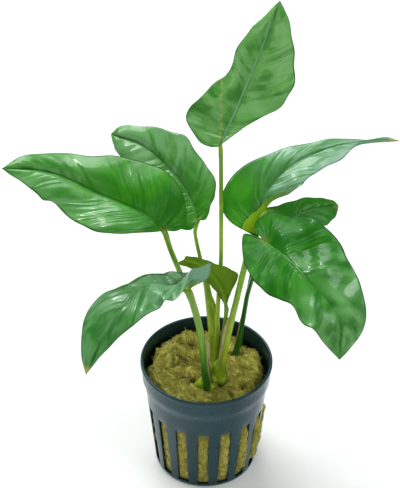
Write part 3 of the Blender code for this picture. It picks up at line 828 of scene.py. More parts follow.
def ripeness(name, along, out, across, points):
    """How far a blade has yellowed: a pale joint, a tip that dries, a streak where it was bruised."""
    joint = 0.5 * np.exp(-((along / 0.03) ** 2) - (out / 1.2) ** 2)
    if name == "right":
        return np.clip(joint + ease((along - 0.93) / 0.06), 0, 1)
    if name == "front_left":
        return np.clip(joint + 0.85 * ease((along - 0.93) / 0.05), 0, 1)
    if name == "back_right":
        seam = 0.3 * ease((0.4 - along) / 0.3) * ease((out - 3) / 4) * (across < 0)
        return np.clip(0.4 * joint + seam + 0.3 * ease((along - 0.88) / 0.12), 0, 1)
    if name == "top":
        x, _, z = points.T
        wander = 4.3 + 0.35 * np.sin(z * 0.9) + 0.2 * np.sin(z * 2.3)
        streak = np.exp(-(((x - wander) / 0.42) ** 2)) * (across < 0) * ease((185 - z) / 3)
        broken = 0.45 + 0.4 * np.sin(z * 1.7) + 0.3 * np.sin(z * 4.1 + 1)
        return np.clip(joint + 0.8 * streak * np.clip(broken, 0.1, 1), 0, 1)
    return np.clip(joint, 0, 1)


class ANUBIAS_OT_leaves(bpy.types.Operator):
    """Lays the eight leaf blades along their midribs"""

    bl_idname = "anubias.leaves"
    bl_label = "Leaves"

    def execute(self, context):
        settings = context.scene.anubias_leaves
        # pale holds the two colours of the painted sheen.
        deep, fresh, pale = settings.deep_green, settings.fresh_green, (settings.waxy_sheen, settings.haze)
        under, ripe = settings.underside, settings.ripe
        finishes = {
            "mature": leaf_finish("leaf_mature", deep, fresh, *pale, under, ripe),
            "young": leaf_finish("leaf_young", fresh, shade(fresh, 1.3), *pale, shade(under, 0.62), ripe),
        }
        for number, (name, leaf) in enumerate(LEAVES.items()):
            look = LEAF_LOOKS[name]
            build_blade(name, leaf, look, settings, finishes[look.skin], 3 * number + 1)
        return {"FINISHED"}


# Stalks and sheaths -------------------------------------------------------------------------------

STALK_ROWS = 90
STALK_SIDES = 24
# How much thicker each stalk is than its mean taper, as (height, factor) from its foot up
STALK_SWELLS = {
    "top": ((50, 1.5), (58, 1.15), (70, 1.0)),
    "left": ((50, 1.3), (60, 1.1), (72, 1.0)),
    "back_left": ((50, 1.3), (58, 1.6), (74, 1.75), (84, 1.5), (89.5, 1.3), (91, 0.95)),
    "right": ((47, 1.6), (50, 1.5), (54, 1.2), (60, 1.0), (75, 1.04)),
    "back_right": ((50, 1.0), (58, 0.95)),
    "front_right": ((48, 1.5), (51, 1.2), (56, 1.0)),
    "front_left": ((48, 1.15), (54, 0.95), (60, 0.88), (68, 0.95), (76, 1.05)),
    "young": ((50, 1.4), (56, 1.1), (65, 1.0)),
}
STALK_SKINS = {
    "top": "yellow", "right": "yellow", "back_left": "yellow", "front_left": "deep_foot",
    "front_right": "dark", "back_right": "dark",
}


def stalk_line(name):
    """The stalk from inside the rhizome to under its blade, and its radius along it."""
    route, base_radius, top_radius = STEMS[name]
    blade = Blade(LEAVES[name])
    steps = np.array([0.4, RIB_LENGTH * 0.5, RIB_LENGTH])
    _, _, up = blade.axes(steps)
    under = blade.on_rib(steps) - up * np.array([0.9, 0.75, 0.55])[:, None]
    start = np.array(route[0]) - (0, 0, 3)
    line = smooth_line([start, *route, *under], STALK_ROWS + 1)
    run = np.concatenate([[0], np.cumsum(np.linalg.norm(np.diff(line, axis=0), axis=1))])
    share = np.linspace(0, 1, len(line))
    radii = base_radius + (top_radius - base_radius) * share
    heights, factors = zip(*STALK_SWELLS[name])
    rising = np.maximum.accumulate(line[:, 2])
    radii = radii * np.interp(rising, heights, factors)
    left = run[-1] - run
    radii = radii * (1 + 0.14 * np.exp(-(((left - RIB_LENGTH - 3) / 2.5) ** 2)))
    radii = radii * (0.45 + 0.55 * ease(left / (RIB_LENGTH + 1)))
    radii[0] = radii[-1] = 0.0
    return line, radii


def stalk_groove(share, turn):
    """A stalk's section: a shallow channel down one side and faint ribs."""
    channel = 1 - 0.13 * np.exp(-(((turn - math.pi) / 0.5) ** 2)) * ease((share - 0.25) / 0.3)
    return channel * (1 + 0.018 * np.cos(7 * turn) + 0.015 * np.sin(share * 40 + turn))


def build_stalk(name, material):
    line, radii = stalk_line(name)
    bm = tube(line, radii, STALK_SIDES, stalk_groove)
    return finished_object(f"stalk_{name}", bm, [material], [f"stem_{name}"])


# The papery sheaths, each a wing on a stalk: its outline as (height, width) and the way it stands out
Sheath = namedtuple("Sheath", "outline toward")

SHEATHS = {
    "front_left": Sheath(((50, 0.3), (57, 0.9), (65, 2.0), (72, 2.1), (75.5, 0.9), (77, 0.05)), (0.93, 0.36, 0)),
    "right": Sheath(((53, 0.3), (59, 1.1), (67, 1.4), (75, 1.6), (79.5, 1.0), (81.5, 0.05)), (-0.95, -0.3, 0)),
    "front_right": Sheath(((49, 0.1), (56, 0.35), (64, 0.45), (70, 0.3), (73, 0.02)), (-0.97, -0.25, 0)),
    "back_left": Sheath(((54, 0.3), (62, 0.9), (70, 1.2), (79, 0.7), (84, 0.05)), (0.9, -0.43, 0)),
}
SHEATH_ROWS, SHEATH_COLUMNS = 60, 10


def build_sheath(name, sheath, material, seed):
    """A thin wing that leaves its stalk at the side and ends in a free tip."""
    line, radii = stalk_line(name)
    heights = np.maximum.accumulate(line[:, 2])
    bm = slab(SHEATH_ROWS, SHEATH_COLUMNS)
    flat = places(bm)
    share, out, above = flat[:, 0], flat[:, 1], flat[:, 2]
    rows, widths = zip(*sheath.outline)
    height = rows[0] + (rows[-1] - rows[0]) * share
    width = np.interp(height, rows, widths) * (1 + 0.1 * ripple(share * 10, share * 0, 2.5, seed))
    centre = np.stack([np.interp(height, heights, column) for column in line.T], axis=1)
    radius = np.interp(height, heights, radii)
    toward = unit(np.array(sheath.toward, float))
    aside = np.cross((0, 0, 1), toward)
    curl = 0.35 * width * np.sin(2.2 * out) + 0.2 * out * ripple(share * 12, out, 4.0, seed + 3)
    place = centre + toward * (0.6 * radius + out * (width + 0.4 * radius))[:, None]
    place = place + aside * (curl + (above - 0.5) * (0.2 - 0.1 * out))[:, None]
    place[:, 2] += 0.5 * out * width
    move_to(bm, place)
    mark(bm, "length_share", share)
    mark(bm, "reach", out)
    draw_uv(bm, share, out)
    bmesh.ops.remove_doubles(bm, verts=bm.verts[:], dist=1e-3)
    bmesh.ops.recalc_face_normals(bm, faces=bm.faces[:])
    return finished_object(f"sheath_{name}", bm, [material])


class ANUBIAS_OT_stalks(bpy.types.Operator):
    """Grows the eight leaf stalks and the papery sheaths at their feet"""

    bl_idname = "anubias.stalks"
    bl_label = "Stalks and sheaths"

    def execute(self, context):
        settings = context.scene.anubias_stalks
        body, dark = settings.green, settings.dark_green
        skins = {
            "green": stalk_finish("stalk_green", shade(settings.foot, 0.7), body, shade(body, 0.55), 0.2),
            "yellow": stalk_finish("stalk_yellow", settings.foot, shade(body, 1.15), shade(body, 0.6), 0.75),
            "deep_foot": stalk_finish("stalk_deep_foot", shade(dark, 1.1), body, shade(body, 0.5), 0.45),
            "dark": stalk_finish("stalk_dark", shade(dark, 1.2), dark, shade(dark, 0.6), 0.3),
        }
        for name in STEMS:
            build_stalk(name, skins[STALK_SKINS.get(name, "green")])
        papery = sheath_finish("sheath_papery", settings.sheath, settings.sheath_stain)
        for number, (name, sheath) in enumerate(SHEATHS.items()):
            build_sheath(name, sheath, papery, 40 + number)
        return {"FINISHED"}


# Rhizome ------------------------------------------------------------------------------------------

RHIZOME_FRONT = (-1.6, -14.4, 45.2)
RHIZOME_BACK = (15.4, 16.8, 43.0)
RHIZOME_RADIUS = 3.6
RHIZOME_NODES = 6
# centre, radius, how far it stretches up
KNOBS = (
    ((-1.9, -9.6, 47.6), 2.5, 1.5),
    ((-3.6, -9.2, 47.2), 1.7, 1.2),
    ((-1.2, -9.2, 49.6), 1.6, 1.8),
    ((4.0, -5.7, 53.0), 2.1, 2.1),
    ((5.0, -5.4, 56.2), 1.5, 1.6),
    ((0.3, -11.4, 47.2), 1.9, 1.2),
    ((2.0, -10.2, 46.9), 1.9, 1.1),
    ((6.0, -6.4, 48.6), 2.4, 1.5),
    ((4.4, -2.2, 50.0), 1.8, 2.0),
    ((3.4, -4.8, 49.8), 1.7, 1.5),
    ((8.2, 0.4, 45.4), 1.8, 1.1),
    ((2.9, -7.6, 49.7), 0.9, 1.0),
    ((4.1, -7.6, 49.3), 0.75, 1.0),
    ((2.1, -6.9, 50.1), 0.65, 1.0),
    ((3.5, -8.4, 48.9), 0.6, 1.0),
    ((12.2, 9.0, 45.4), 1.5, 1.1),
)
CROWN_VOXEL = 0.35


class ANUBIAS_OT_rhizome(bpy.types.Operator):
    """Grows the knobbly rhizome and its buds as one body"""

    bl_idname = "anubias.rhizome"
    bl_label = "Rhizome"

    def execute(self, context):
        settings = context.scene.anubias_stalks
        front, back = Vector(RHIZOME_FRONT), Vector(RHIZOME_BACK)
        half = (back - front).length / 2
        turn = (back - front).to_track_quat("Z", "Y").to_matrix().to_4x4()
        bm = bmesh.new()
        bmesh.ops.create_uvsphere(bm, u_segments=48, v_segments=64, radius=1.0)
        for vert in bm.verts:
            along = vert.co.z
            ring = 1 + 0.05 * math.cos(math.tau * RHIZOME_NODES * (along + 1) / 2)
            full = (1 - abs(along) ** 4) ** 0.5 * ring * RHIZOME_RADIUS
            width = math.hypot(vert.co.x, vert.co.y)
            if width > 1e-6:
                vert.co.xy *= full / width
            vert.co.z = along * half
        bmesh.ops.transform(bm, matrix=Matrix.Translation((front + back) / 2) @ turn, verts=bm.verts)
        for centre, radius, stretch in KNOBS:
            place = Matrix.Translation(centre) @ Matrix.Diagonal((1, 1, stretch, 1))
            bmesh.ops.create_uvsphere(bm, u_segments=24, v_segments=16, radius=radius, matrix=place)
        material = rhizome_finish("rhizome_skin", settings.rhizome, settings.foot)
        crown = finished_object("crown", bm, [material], ["rhizome"])
        fuse = crown.modifiers.new("fuse", "REMESH")
        fuse.mode = "VOXEL"
        fuse.voxel_size = CROWN_VOXEL * MM
        fuse.use_smooth_shade = True
        soften = crown.modifiers.new("soften", "SMOOTH")
        soften.factor = 0.6
        soften.iterations = 5
        return {"FINISHED"}


# Rockwool -----------------------------------------------------------------------------------------

WALL_TOP_RADIUS, BASE_RADIUS = 25.9, 21.3
COLLAR_BOTTOM = 45.0
WALL, FLOOR = 1.1, 1.2
SLOT_BOTTOM, SLOT_TOP = 1.8, 33.0
SLOT_TURN = -2.6
WOOL_TOP = 48.0
WOOL_STEPS = 224
WOOL_SIDE_ROWS, WOOL_TOP_ROWS = 66, 62
BULGE_FRONT, BULGE_SIDE = 0.5, 2.1
WOOL_LUMPS = (  # x, y, spread, height
    (-7, 20, 5, 3.2),
    (-19, 8, 5, 2.0),
    (-12, -9, 6, 1.2),
    (12, -10, 7, 1.4),
    (18, 5, 5, 0.9),
    (4, 21, 5, 1.2),
    (-5, 3, 5, -1.2),
    (9, 2, 4, -1.0),
    (-16, 1, 3, 0.8),
    (-9, 12, 4, 1.0),
    (14, -2, 3, 0.7),
    (5, -17, 4, 0.7),
    (0.5, -9.5, 3.2, -1.5),
    (16.2, 5.6, 2.0, 1.3),
)
# Creases in the wool's top: where each starts and ends, how wide and how deep it is
WOOL_CREASES = (
    ((-16, 9), (-3, 3), 0.9, 1.6),
    ((-18, -2), (-8, 6), 0.8, 1.1),
    ((-14, -8), (-5, -3), 0.8, 1.1),
    ((-5.8, -8.6), (-4.9, -5.8), 1.1, 3.0),
    ((3.5, -10.6), (9.2, -7.0), 0.9, 2.2),
    ((13.8, 9.2), (15.6, 8.8), 1.2, 2.4),
    ((-12, 15), (-2, 12), 0.9, 1.3),
    ((9, -12), (11, -17), 0.9, 1.3),
    ((14.6, -12.4), (16.0, -10.8), 1.2, 3.2),
    ((8, 8), (19, 12), 0.8, 0.9),
    ((7, -11), (17, -5), 0.7, 0.7),
    ((-20, 4), (-12, 12), 0.8, 1.0),
)


def wall_radius(height):
    """The outer radius of the pot's slotted wall."""
    return BASE_RADIUS + (WALL_TOP_RADIUS - BASE_RADIUS) * np.minimum(height, COLLAR_BOTTOM) / COLLAR_BOTTOM


def slot_bulge(turn, height):
    """How far the wool swells into the slots, most of all on the plant's right."""
    pitch = 360 / 16
    from_centre = np.abs((turn - SLOT_TURN + pitch / 2) % pitch - pitch / 2) / (pitch / 4)
    across = np.cos(np.radians(90 * np.minimum(from_centre, 1.0))) ** 0.5
    rise = ease((height - SLOT_BOTTOM - 1) / 6) * ease((SLOT_TOP - 1 - height) / 5)
    to_side = ease(0.5 + 0.9 * np.sin(np.radians(turn)))
    return across * rise * (BULGE_FRONT + BULGE_SIDE * to_side), across * rise


def wool_grain(points):
    """Matted folds: a coarse heave, ridges drawn out along the swirl of the fibres, and a fine tangle."""
    rows = []
    for point in points:
        place = Vector(point)
        swirl = place + noise.noise_vector(place * 0.11 + Vector((4, 1, 8))) * 4.5
        drawn = Vector((swirl.x * 0.8 + swirl.y * 0.5, swirl.y * 0.22 - swirl.x * 0.12, swirl.z * 0.4))
        coarse = noise.noise(swirl * 0.17)
        folds = 1 - 2 * abs(noise.noise(drawn * 0.36 + Vector((7, 3, 1))))
        small = 1 - 2 * abs(noise.noise(drawn * 0.85 + Vector((2, 8, 5))))
        fine = noise.fractal(drawn * 2.4, 0.8, 2.2, 3)
        rows.append((coarse, folds, small, fine))
    return np.array(rows).T


def build_wool(light, dark):
    """The plug of wool: lumpy and creased above, bulging through the slots at its side."""
    bottom = FLOOR + 0.2
    rim = float(wall_radius(WOOL_TOP)) - WALL - 0.2
    side = [(float(wall_radius(z)) - WALL - 0.2, z) for z in np.linspace(bottom, WOOL_TOP - 0.8, WOOL_SIDE_ROWS)]
    top = [(rim * share, WOOL_TOP) for share in np.linspace(1.0, 0.015, WOOL_TOP_ROWS) ** 0.85]
    bm = turned([(0, bottom), (10, bottom), *side, *top, (0, WOOL_TOP)], WOOL_STEPS)
    points = places(bm)
    x, y, z = points.T
    radius = np.hypot(x, y)
    turn = np.degrees(np.arctan2(x, -y))
    upper = z > WOOL_TOP - 0.5
    coarse, folds, small, fine = wool_grain(points)
    lumps = sum(h * np.exp(-((x - cx) ** 2 + (y - cy) ** 2) / (2 * s * s)) for cx, cy, s, h in WOOL_LUMPS)
    crease = np.zeros(len(points))
    for start, end, width, depth in WOOL_CREASES:
        start, end = np.array(start, float), np.array(end, float)
        span = end - start
        wander = 0.9 * ripple(x, y, 6.0, int(100 * depth))
        t = np.clip(((x - start[0]) * span[0] + (y - start[1]) * span[1]) / (span @ span), 0, 1)
        away = np.hypot(x - start[0] - t * span[0], y - start[1] - t * span[1]) + 0.5 * wander
        crease = np.maximum(crease, depth * np.exp(-((away / width) ** 2)) * np.sin(math.pi * (0.15 + 0.7 * t)))
    # The wool stands back from the pot's wall in ragged clumps.
    clump = ripple(turn, turn * 0, 40, 17) + 0.6 * ripple(turn, turn * 0, 13, 23)
    gap = np.clip(0.7 + 0.75 * clump, 0, 2.4)
    edge = ease((radius / rim - 0.84) / 0.16)
    rough = 1.7 * coarse + 1.25 * (folds - 0.6) + 0.6 * (small - 0.6) + 0.28 * fine
    z_top = WOOL_TOP + lumps + rough * (1 - 0.35 * edge) - crease - (1.2 + 0.9 * np.clip(clump, -1, 1)) * edge
    swell, open_slot = slot_bulge(turn, z)
    to_wall = (0.3 * fine + 0.8 * coarse + 0.5 * (small - 0.6)) * open_slot - 0.12 * np.abs(fine)
    to_wall = to_wall - gap * ease((z - 40) / 6) - 0.6 * np.abs(fine) * ease((z - 40) / 6)
    factor = (radius + (swell + to_wall) * np.where(upper, edge, 1.0)) / np.maximum(radius, 1e-6)
    moved = upper | (z > bottom + 0.5)
    points[:, 0] = np.where(moved, x * factor, x)
    points[:, 1] = np.where(moved, y * factor, y)
    points[:, 2] = np.where(upper, z_top, z - np.where(z > 40, (1.2 + 0.9 * clump) * (z - 40) / 8, 0))
    move_to(bm, points)
    # Where the painted shade goes: the creases, the hollows between folds and the rim by the pot's wall.
    hollow_shade = 0.8 * np.clip(0.45 - folds, 0, 1) + 0.5 * np.clip(0.3 - small, 0, 1)
    depth = np.where(upper, crease / 1.6 + hollow_shade + 0.35 * edge, 0.7 * hollow_shade)
    mark(bm, "fold", np.clip(depth, 0, 1))
    material = wool_finish("rockwool_matted", light, dark)
    plug = finished_object("wool_plug", bm, [material], ["rockwool"])
    return plug


def surface_spots(obj, count, keep, seed):
    """Points on a mesh and their normals, in millimetres, drawn evenly by area where keep says so."""
    draw = np.random.default_rng(seed)
    faces = [polygon for polygon in obj.data.polygons if keep(polygon.center / MM, polygon.normal)]
    area = np.cumsum([polygon.area for polygon in faces])
    picked = np.searchsorted(area, draw.uniform(0, area[-1], count))
    spots = []
    for number in picked:
        corners = [obj.data.vertices[i].co / MM for i in faces[number].vertices]
        weights = draw.dirichlet(np.ones(len(corners)))
        place = sum((corner * weight for corner, weight in zip(corners, weights)), Vector())
        spots.append((place, faces[number].normal.copy()))
    return spots


FIBRE_STEPS = 5


def build_fibres(plug, count, light, dark):
    """Loose fibres combed over the wool, each a thin three-sided thread."""
    draw = np.random.default_rng(11)

    def shows(place, normal):
        on_top = normal.z > 0.2 and place.z > 44
        return on_top or (8 < place.z < 31 and math.hypot(place.x, place.y) > wall_radius(place.z) - WALL + 0.1)

    # One thread along X, copied for every fibre and then bent into its place
    thread = bmesh.new()
    ring = bmesh.ops.create_circle(thread, cap_ends=True, radius=1.0, segments=3)["verts"]
    bmesh.ops.transform(thread, matrix=Matrix.Rotation(math.pi / 2, 4, "Y"), verts=ring)
    face = ring[0].link_faces[0]
    for _ in range(FIBRE_STEPS - 1):
        grown = bmesh.ops.extrude_face_region(thread, geom=[face])["geom"]
        face = next(item for item in grown if isinstance(item, bmesh.types.BMFace))
        bmesh.ops.translate(thread, verts=face.verts[:], vec=(1 / (FIBRE_STEPS - 1), 0, 0))
    bmesh.ops.recalc_face_normals(thread, faces=thread.faces[:])
    pattern = bpy.data.meshes.new("thread")
    thread.to_mesh(pattern)
    thread.free()

    bm = bmesh.new()
    centres, ways, sides, normals = [], [], [], []
    for place, normal in surface_spots(plug, count, shows, 5):
        comb = noise.noise_vector(place * 0.13 + Vector((3, 9, 2)))
        comb = (comb + Vector((0.5, -0.3, 0))).normalized() + Vector(draw.normal(0, 0.35, 3))
        if normal.z < 0.2:
            comb = Vector((0, 0, 1)) * (1 if draw.uniform() > 0.5 else -1) + Vector(draw.normal(0, 0.5, 3))
        heading = (comb - normal * comb.dot(normal)).normalized()
        centres.append(place)
        ways.append(heading)
        sides.append(normal.cross(heading))
        normals.append(normal)
        bm.from_mesh(pattern)
    bpy.data.meshes.remove(pattern)
    flat = places(bm).reshape(count, -1, 3)
    centres, ways, sides, normals = (np.array(rows)[:, None] for rows in (centres, ways, sides, normals))
    length = draw.uniform(1.6, 4.2, (count, 1, 1))
    bow = draw.normal(0, 0.5, (count, 1, 1))
    rise = draw.uniform(0.1, 0.55, (count, 1, 1)) * np.where(draw.uniform(0, 1, (count, 1, 1)) > 0.93, 2.0, 1.0)
    width = draw.uniform(0.035, 0.075, (count, 1, 1))
    share, out, over = flat[..., :1], flat[..., 1:2], flat[..., 2:]
    arc = np.sin(math.pi * share)
    points = centres + ways * length * (share - 0.5)
    points = points + sides * (bow * arc + width * out) + normals * (rise * arc - 0.1 + width * over)
    move_to(bm, points.reshape(-1, 3))
    material = wool_finish("rockwool_fibre", shade(light, 1.25), light, fibre=True)
    return finished_object("wool_fibres", bm, [material])


class ANUBIAS_OT_wool(bpy.types.Operator):
    """Packs the rockwool into the pot and combs loose fibres over it"""

    bl_idname = "anubias.wool"
    bl_label = "Rockwool"

    def execute(self, context):
        settings = context.scene.anubias_wool
        plug = build_wool(settings.light, settings.dark)
        build_fibres(plug, settings.fibres, settings.light, settings.dark)
        return {"FINISHED"}


# Net pot ------------------------------------------------------------------------------------------

POT_SLOTS = 16
SLOT_COLUMNS, RIB_COLUMNS = 4, 8


def pot_profile(height, lip_radius):
    """The pot's section from the middle of its underside, up its outside and down its inside."""
    lip = height - 1.9
    collar_top = lip_radius - 0.5
    step = WALL_TOP_RADIUS + 0.8
    wall_rows = [SLOT_BOTTOM, 6, 11, 16, 21, 26, 30, SLOT_TOP]
    outer = [(float(wall_radius(z)), z) for z in wall_rows]
    inner = [(float(wall_radius(z)) - WALL, z) for z in wall_rows[::-1]]
    return [
        (0, 0),
        (5, 0),
        (10, 0),
        (15, 0),
        (BASE_RADIUS - 1.0, 0),
        (BASE_RADIUS - 0.45, 0.12),
        (BASE_RADIUS - 0.08, 0.5),
        (float(wall_radius(1.0)), 1.0),
        *outer,
        (float(wall_radius(37)), 37),
        (float(wall_radius(41)), 41),
        (WALL_TOP_RADIUS - 0.02, COLLAR_BOTTOM - 0.15),
        (WALL_TOP_RADIUS + 0.1, COLLAR_BOTTOM),
        (step - 0.15, COLLAR_BOTTOM + 0.2),
        (step, COLLAR_BOTTOM + 0.45),
        (step + 0.06, COLLAR_BOTTOM + 2.5),
        (collar_top - 0.08, lip - 1.6),
        (collar_top, lip - 0.25),
        (collar_top + 0.2, lip - 0.05),
        (lip_radius - 0.1, lip + 0.05),
        (lip_radius, lip + 0.3),
        (lip_radius, height - 0.6),
        (lip_radius - 0.15, height - 0.2),
        (lip_radius - 0.5, height),
        (lip_radius - 0.85, height - 0.04),
        (lip_radius - 1.2, height - 0.35),
        (lip_radius - 1.4, height - 0.9),
        (step - WALL, COLLAR_BOTTOM + 0.6),
        (WALL_TOP_RADIUS - WALL, COLLAR_BOTTOM - 0.6),
        (float(wall_radius(39)) - WALL, 39),
        *inner,
        (float(wall_radius(FLOOR + 0.3)) - WALL, FLOOR + 0.3),
        (float(wall_radius(FLOOR)) - WALL - 0.4, FLOOR),
        (15, FLOOR),
        (8, FLOOR),
        (0, FLOOR),
    ]


def line_up_columns(bm, slot_width):
    """Draws the pot's columns together so that each slot has straight, parallel sides."""
    pitch = math.tau / POT_SLOTS
    columns = SLOT_COLUMNS + RIB_COLUMNS
    for vert in bm.verts:
        radius = math.hypot(vert.co.x, vert.co.y)
        if radius < 0.5:
            continue
        number = round(math.atan2(vert.co.y, vert.co.x) / (pitch / columns))
        slot, column = divmod(number, columns)
        half = min(math.asin(min(1.0, slot_width / 2 / radius)), 0.42 * pitch)
        if column <= SLOT_COLUMNS:
            turn = half * (2 * column / SLOT_COLUMNS - 1)
        else:
            turn = half + (pitch - 2 * half) * (column - SLOT_COLUMNS) / RIB_COLUMNS
        turn += slot * pitch - math.pi / 2 + math.radians(SLOT_TURN)
        vert.co.x, vert.co.y = radius * math.cos(turn), radius * math.sin(turn)


def inner_shade_mask(points):
    """Where the pot's painted shade goes: 1 on the inner faces of the wall and the floor, 0 outside."""
    radius, height = np.hypot(points[:, 0], points[:, 1]), points[:, 2]
    skin = np.where(height > COLLAR_BOTTOM, WALL_TOP_RADIUS + 0.3, wall_radius(height) - WALL / 2)
    return ((radius < skin) & (height > FLOOR / 2) & (height < 53.0)).astype(float)


def slot_of(place):
    """The number of the slot nearest to this place, and how far to its side the place is."""
    pitch = math.tau / POT_SLOTS
    turn = math.atan2(place.y, place.x) + math.pi / 2 - math.radians(SLOT_TURN)
    number = round(turn / pitch)
    return number % POT_SLOTS, math.hypot(place.x, place.y) * math.sin(turn - number * pitch)


def open_slots(bm, slot_width):
    """Cuts the slots through the wall and rounds their edges."""
    gone = []
    for face in bm.faces:
        place = face.calc_center_median()
        _, beside = slot_of(place)
        upright = abs(face.normal.z) < 0.5 and math.hypot(place.x, place.y) > BASE_RADIUS - 2
        if upright and SLOT_BOTTOM < place.z < SLOT_TOP and abs(beside) < slot_width / 2:
            gone.append(face)
    bmesh.ops.delete(bm, geom=gone, context="FACES")
    loops = {}
    for edge in bm.edges:
        if edge.is_boundary:
            number, _ = slot_of((edge.verts[0].co + edge.verts[1].co) / 2)
            loops.setdefault(number, []).append(edge)
    for edges in loops.values():
        bmesh.ops.bridge_loops(bm, edges=edges)
        bmesh.ops.bevel(
            bm,
            geom=[edge for edge in edges if edge.is_valid],
            offset=0.18,
            offset_type="OFFSET",
            segments=2,
            profile=0.5,
            affect="EDGES",
            material=-1,
        )
    bmesh.ops.recalc_face_normals(bm, faces=bm.faces[:])


def drain_cutter():
    """The drain slots of the pot's floor, as one hidden tool."""
    bm = bmesh.new()
    for drain in range(8):
        place = Matrix.Rotation(math.radians(SLOT_TURN + 45 * drain), 4, "Z") @ Matrix.Translation((0, -12, 0.5))
        bmesh.ops.create_cube(bm, size=1.0, matrix=place @ Matrix.Diagonal((2.4, 10, 3.0, 1)))
    bmesh.ops.scale(bm, vec=(MM, MM, MM), verts=bm.verts)
    mesh = bpy.data.meshes.new("drain_cutter")
    bm.to_mesh(mesh)
    bm.free()
    tool = bpy.data.objects.new("drain_cutter", mesh)
    bpy.context.scene.collection.objects.link(tool)
    return tool


class ANUBIAS_OT_pot(bpy.types.Operator):
    """Moulds the slotted net pot"""

    bl_idname = "anubias.pot"
    bl_label = "Net pot"

    def execute(self, context):
        settings = context.scene.anubias_pot
        slot_width = settings.slot_width / MM
        profile = pot_profile(settings.height / MM, settings.lip_radius / MM)
        bm = turned(profile, POT_SLOTS * (SLOT_COLUMNS + RIB_COLUMNS))
        line_up_columns(bm, slot_width)
        open_slots(bm, slot_width)
        # Marks the inner faces for painted shade.
        mark(bm, "inside", inner_shade_mask(places(bm)))
        material = plastic_finish("pot_plastic", settings.plastic)
        pot = finished_object("net_pot", bm, [material], ["pot"], angle=40)
        tool = drain_cutter()
        cut = pot.modifiers.new("drains", "BOOLEAN")
        cut.object = tool
        cut.solver = "EXACT"
        context.view_layer.update()
        shape = bpy.data.meshes.new_from_object(pot.evaluated_get(context.evaluated_depsgraph_get()))
        pot.modifiers.clear()
        pot.data = shape
        bpy.data.objects.remove(tool)
        return {"FINISHED"}


# Stage --------------------------------------------------------------------------------------------

FRAME_HEIGHT = 488  # the picture's height in pixels, for a sensor that fits its longer side
SENSOR = 36.0


class ANUBIAS_OT_stage(bpy.types.Operator):
    """Sets out the pale floor, the soft lights and the camera"""

    bl_idname = "anubias.stage"
    bl_label = "Stage"

    def execute(self, context):
        settings = context.scene.anubias_stage
        self.lay_floor(settings)
        self.hang_lights(settings)
        self.set_camera(context.scene, settings)
        context.scene.view_settings.view_transform = "Standard"
        context.scene.view_settings.look = "Medium High Contrast"
        return {"FINISHED"}

    def lay_floor(self, settings):
        bm = bmesh.new()
        bmesh.ops.create_grid(bm, x_segments=2, y_segments=2, size=6.0)
        mesh = bpy.data.meshes.new("floor")
        bm.to_mesh(mesh)
        bm.free()
        floor = bpy.data.objects.new("floor", mesh)
        bpy.context.scene.collection.objects.link(floor)
        paper = Finish("floor_paper", Roughness=0.9)
        grain = paper.noise(900.0, 2.0)
        paper.colour(paper.mix(paper.span(grain, 0.3, 0.7), shade(settings.floor, 0.985), settings.floor))
        mesh.materials.append(paper.material)

    def hang_lights(self, settings):
        world = bpy.data.worlds.new("studio")
        bpy.context.scene.world = world
        world.use_nodes = True
        background = world.node_tree.nodes["Background"]
        background.inputs["Color"].default_value = settings.fill
        background.inputs["Strength"].default_value = settings.fill_strength
        middle = Vector((0.0, 0.0, 0.11))
        for name, place, size, power, tint in STUDIO_LIGHTS:
            lamp = bpy.data.lights.new(name, "AREA")
            lamp.shape = "RECTANGLE"
            lamp.size, lamp.size_y = size
            lamp.energy = power * settings.light
            lamp.color = tint
            obj = bpy.data.objects.new(name, lamp)
            obj.location = place
            obj.rotation_mode = "QUATERNION"
            obj.rotation_quaternion = (middle - Vector(place)).to_track_quat("-Z", "Y")
            bpy.context.scene.collection.objects.link(obj)

    def set_camera(self, scene, settings):
        tilt, roll = settings.elevation, settings.roll
        back = Vector((0, -math.cos(tilt), math.sin(tilt)))
        right = Vector((1, 0, 0))
        up = back.cross(right)
        turned_right = right * math.cos(roll) + up * math.sin(roll)
        turned_up = up * math.cos(roll) - right * math.sin(roll)
        data = bpy.data.cameras.new("camera")
        data.sensor_width = SENSOR
        data.lens = settings.focal_pixels * SENSOR / FRAME_HEIGHT
        data.clip_start, data.clip_end = 0.05, 20.0
        camera = bpy.data.objects.new("camera", data)
        camera.rotation_mode = "QUATERNION"
        camera.rotation_quaternion = Matrix((turned_right, turned_up, back)).transposed().to_quaternion()
        camera.location = Vector(settings.target) + back * settings.distance
        scene.collection.objects.link(camera)
        scene.camera = camera


# name, place, size, power, colour
STUDIO_LIGHTS = (
    ("back_left", (-0.30, 0.53, 1.04), (0.9, 0.9), 10.0, (0.96, 0.99, 1.0)),
    ("right", (0.60, -0.22, 1.0), (0.7, 0.7), 4.2, (0.97, 0.99, 1.0)),
    ("front", (-0.2, -1.5, 0.9), (1.6, 1.0), 5.0, (1.0, 1.0, 0.98)),
    ("glint", (-0.5, 0.1, 0.9), (0.12, 0.12), 1.2, (1.0, 0.99, 0.96)),
)


# Settings, panel and registration -----------------------------------------------------------------


def colour_property(name, description, default):
    return FloatVectorProperty(
        name=name,
        description=description,
        default=(*default, 1.0),
        size=4,
        min=0.0,
        max=1.0,
        subtype="COLOR",
    )


def length_property(name, description, default):
    return FloatProperty(name=name, description=description, default=default, unit="LENGTH", precision=4)


class PotSettings(bpy.types.PropertyGroup):
    height: length_property("Height", "Height of the pot over its lip", 0.054)
    lip_radius: length_property("Lip radius", "Outer radius of the lip", 0.0275)
    slot_width: length_property("Slot width", "Width of each slot in the wall", 0.0046)
    plastic: colour_property("Plastic", "Colour of the pot", (0.005, 0.047, 0.060))


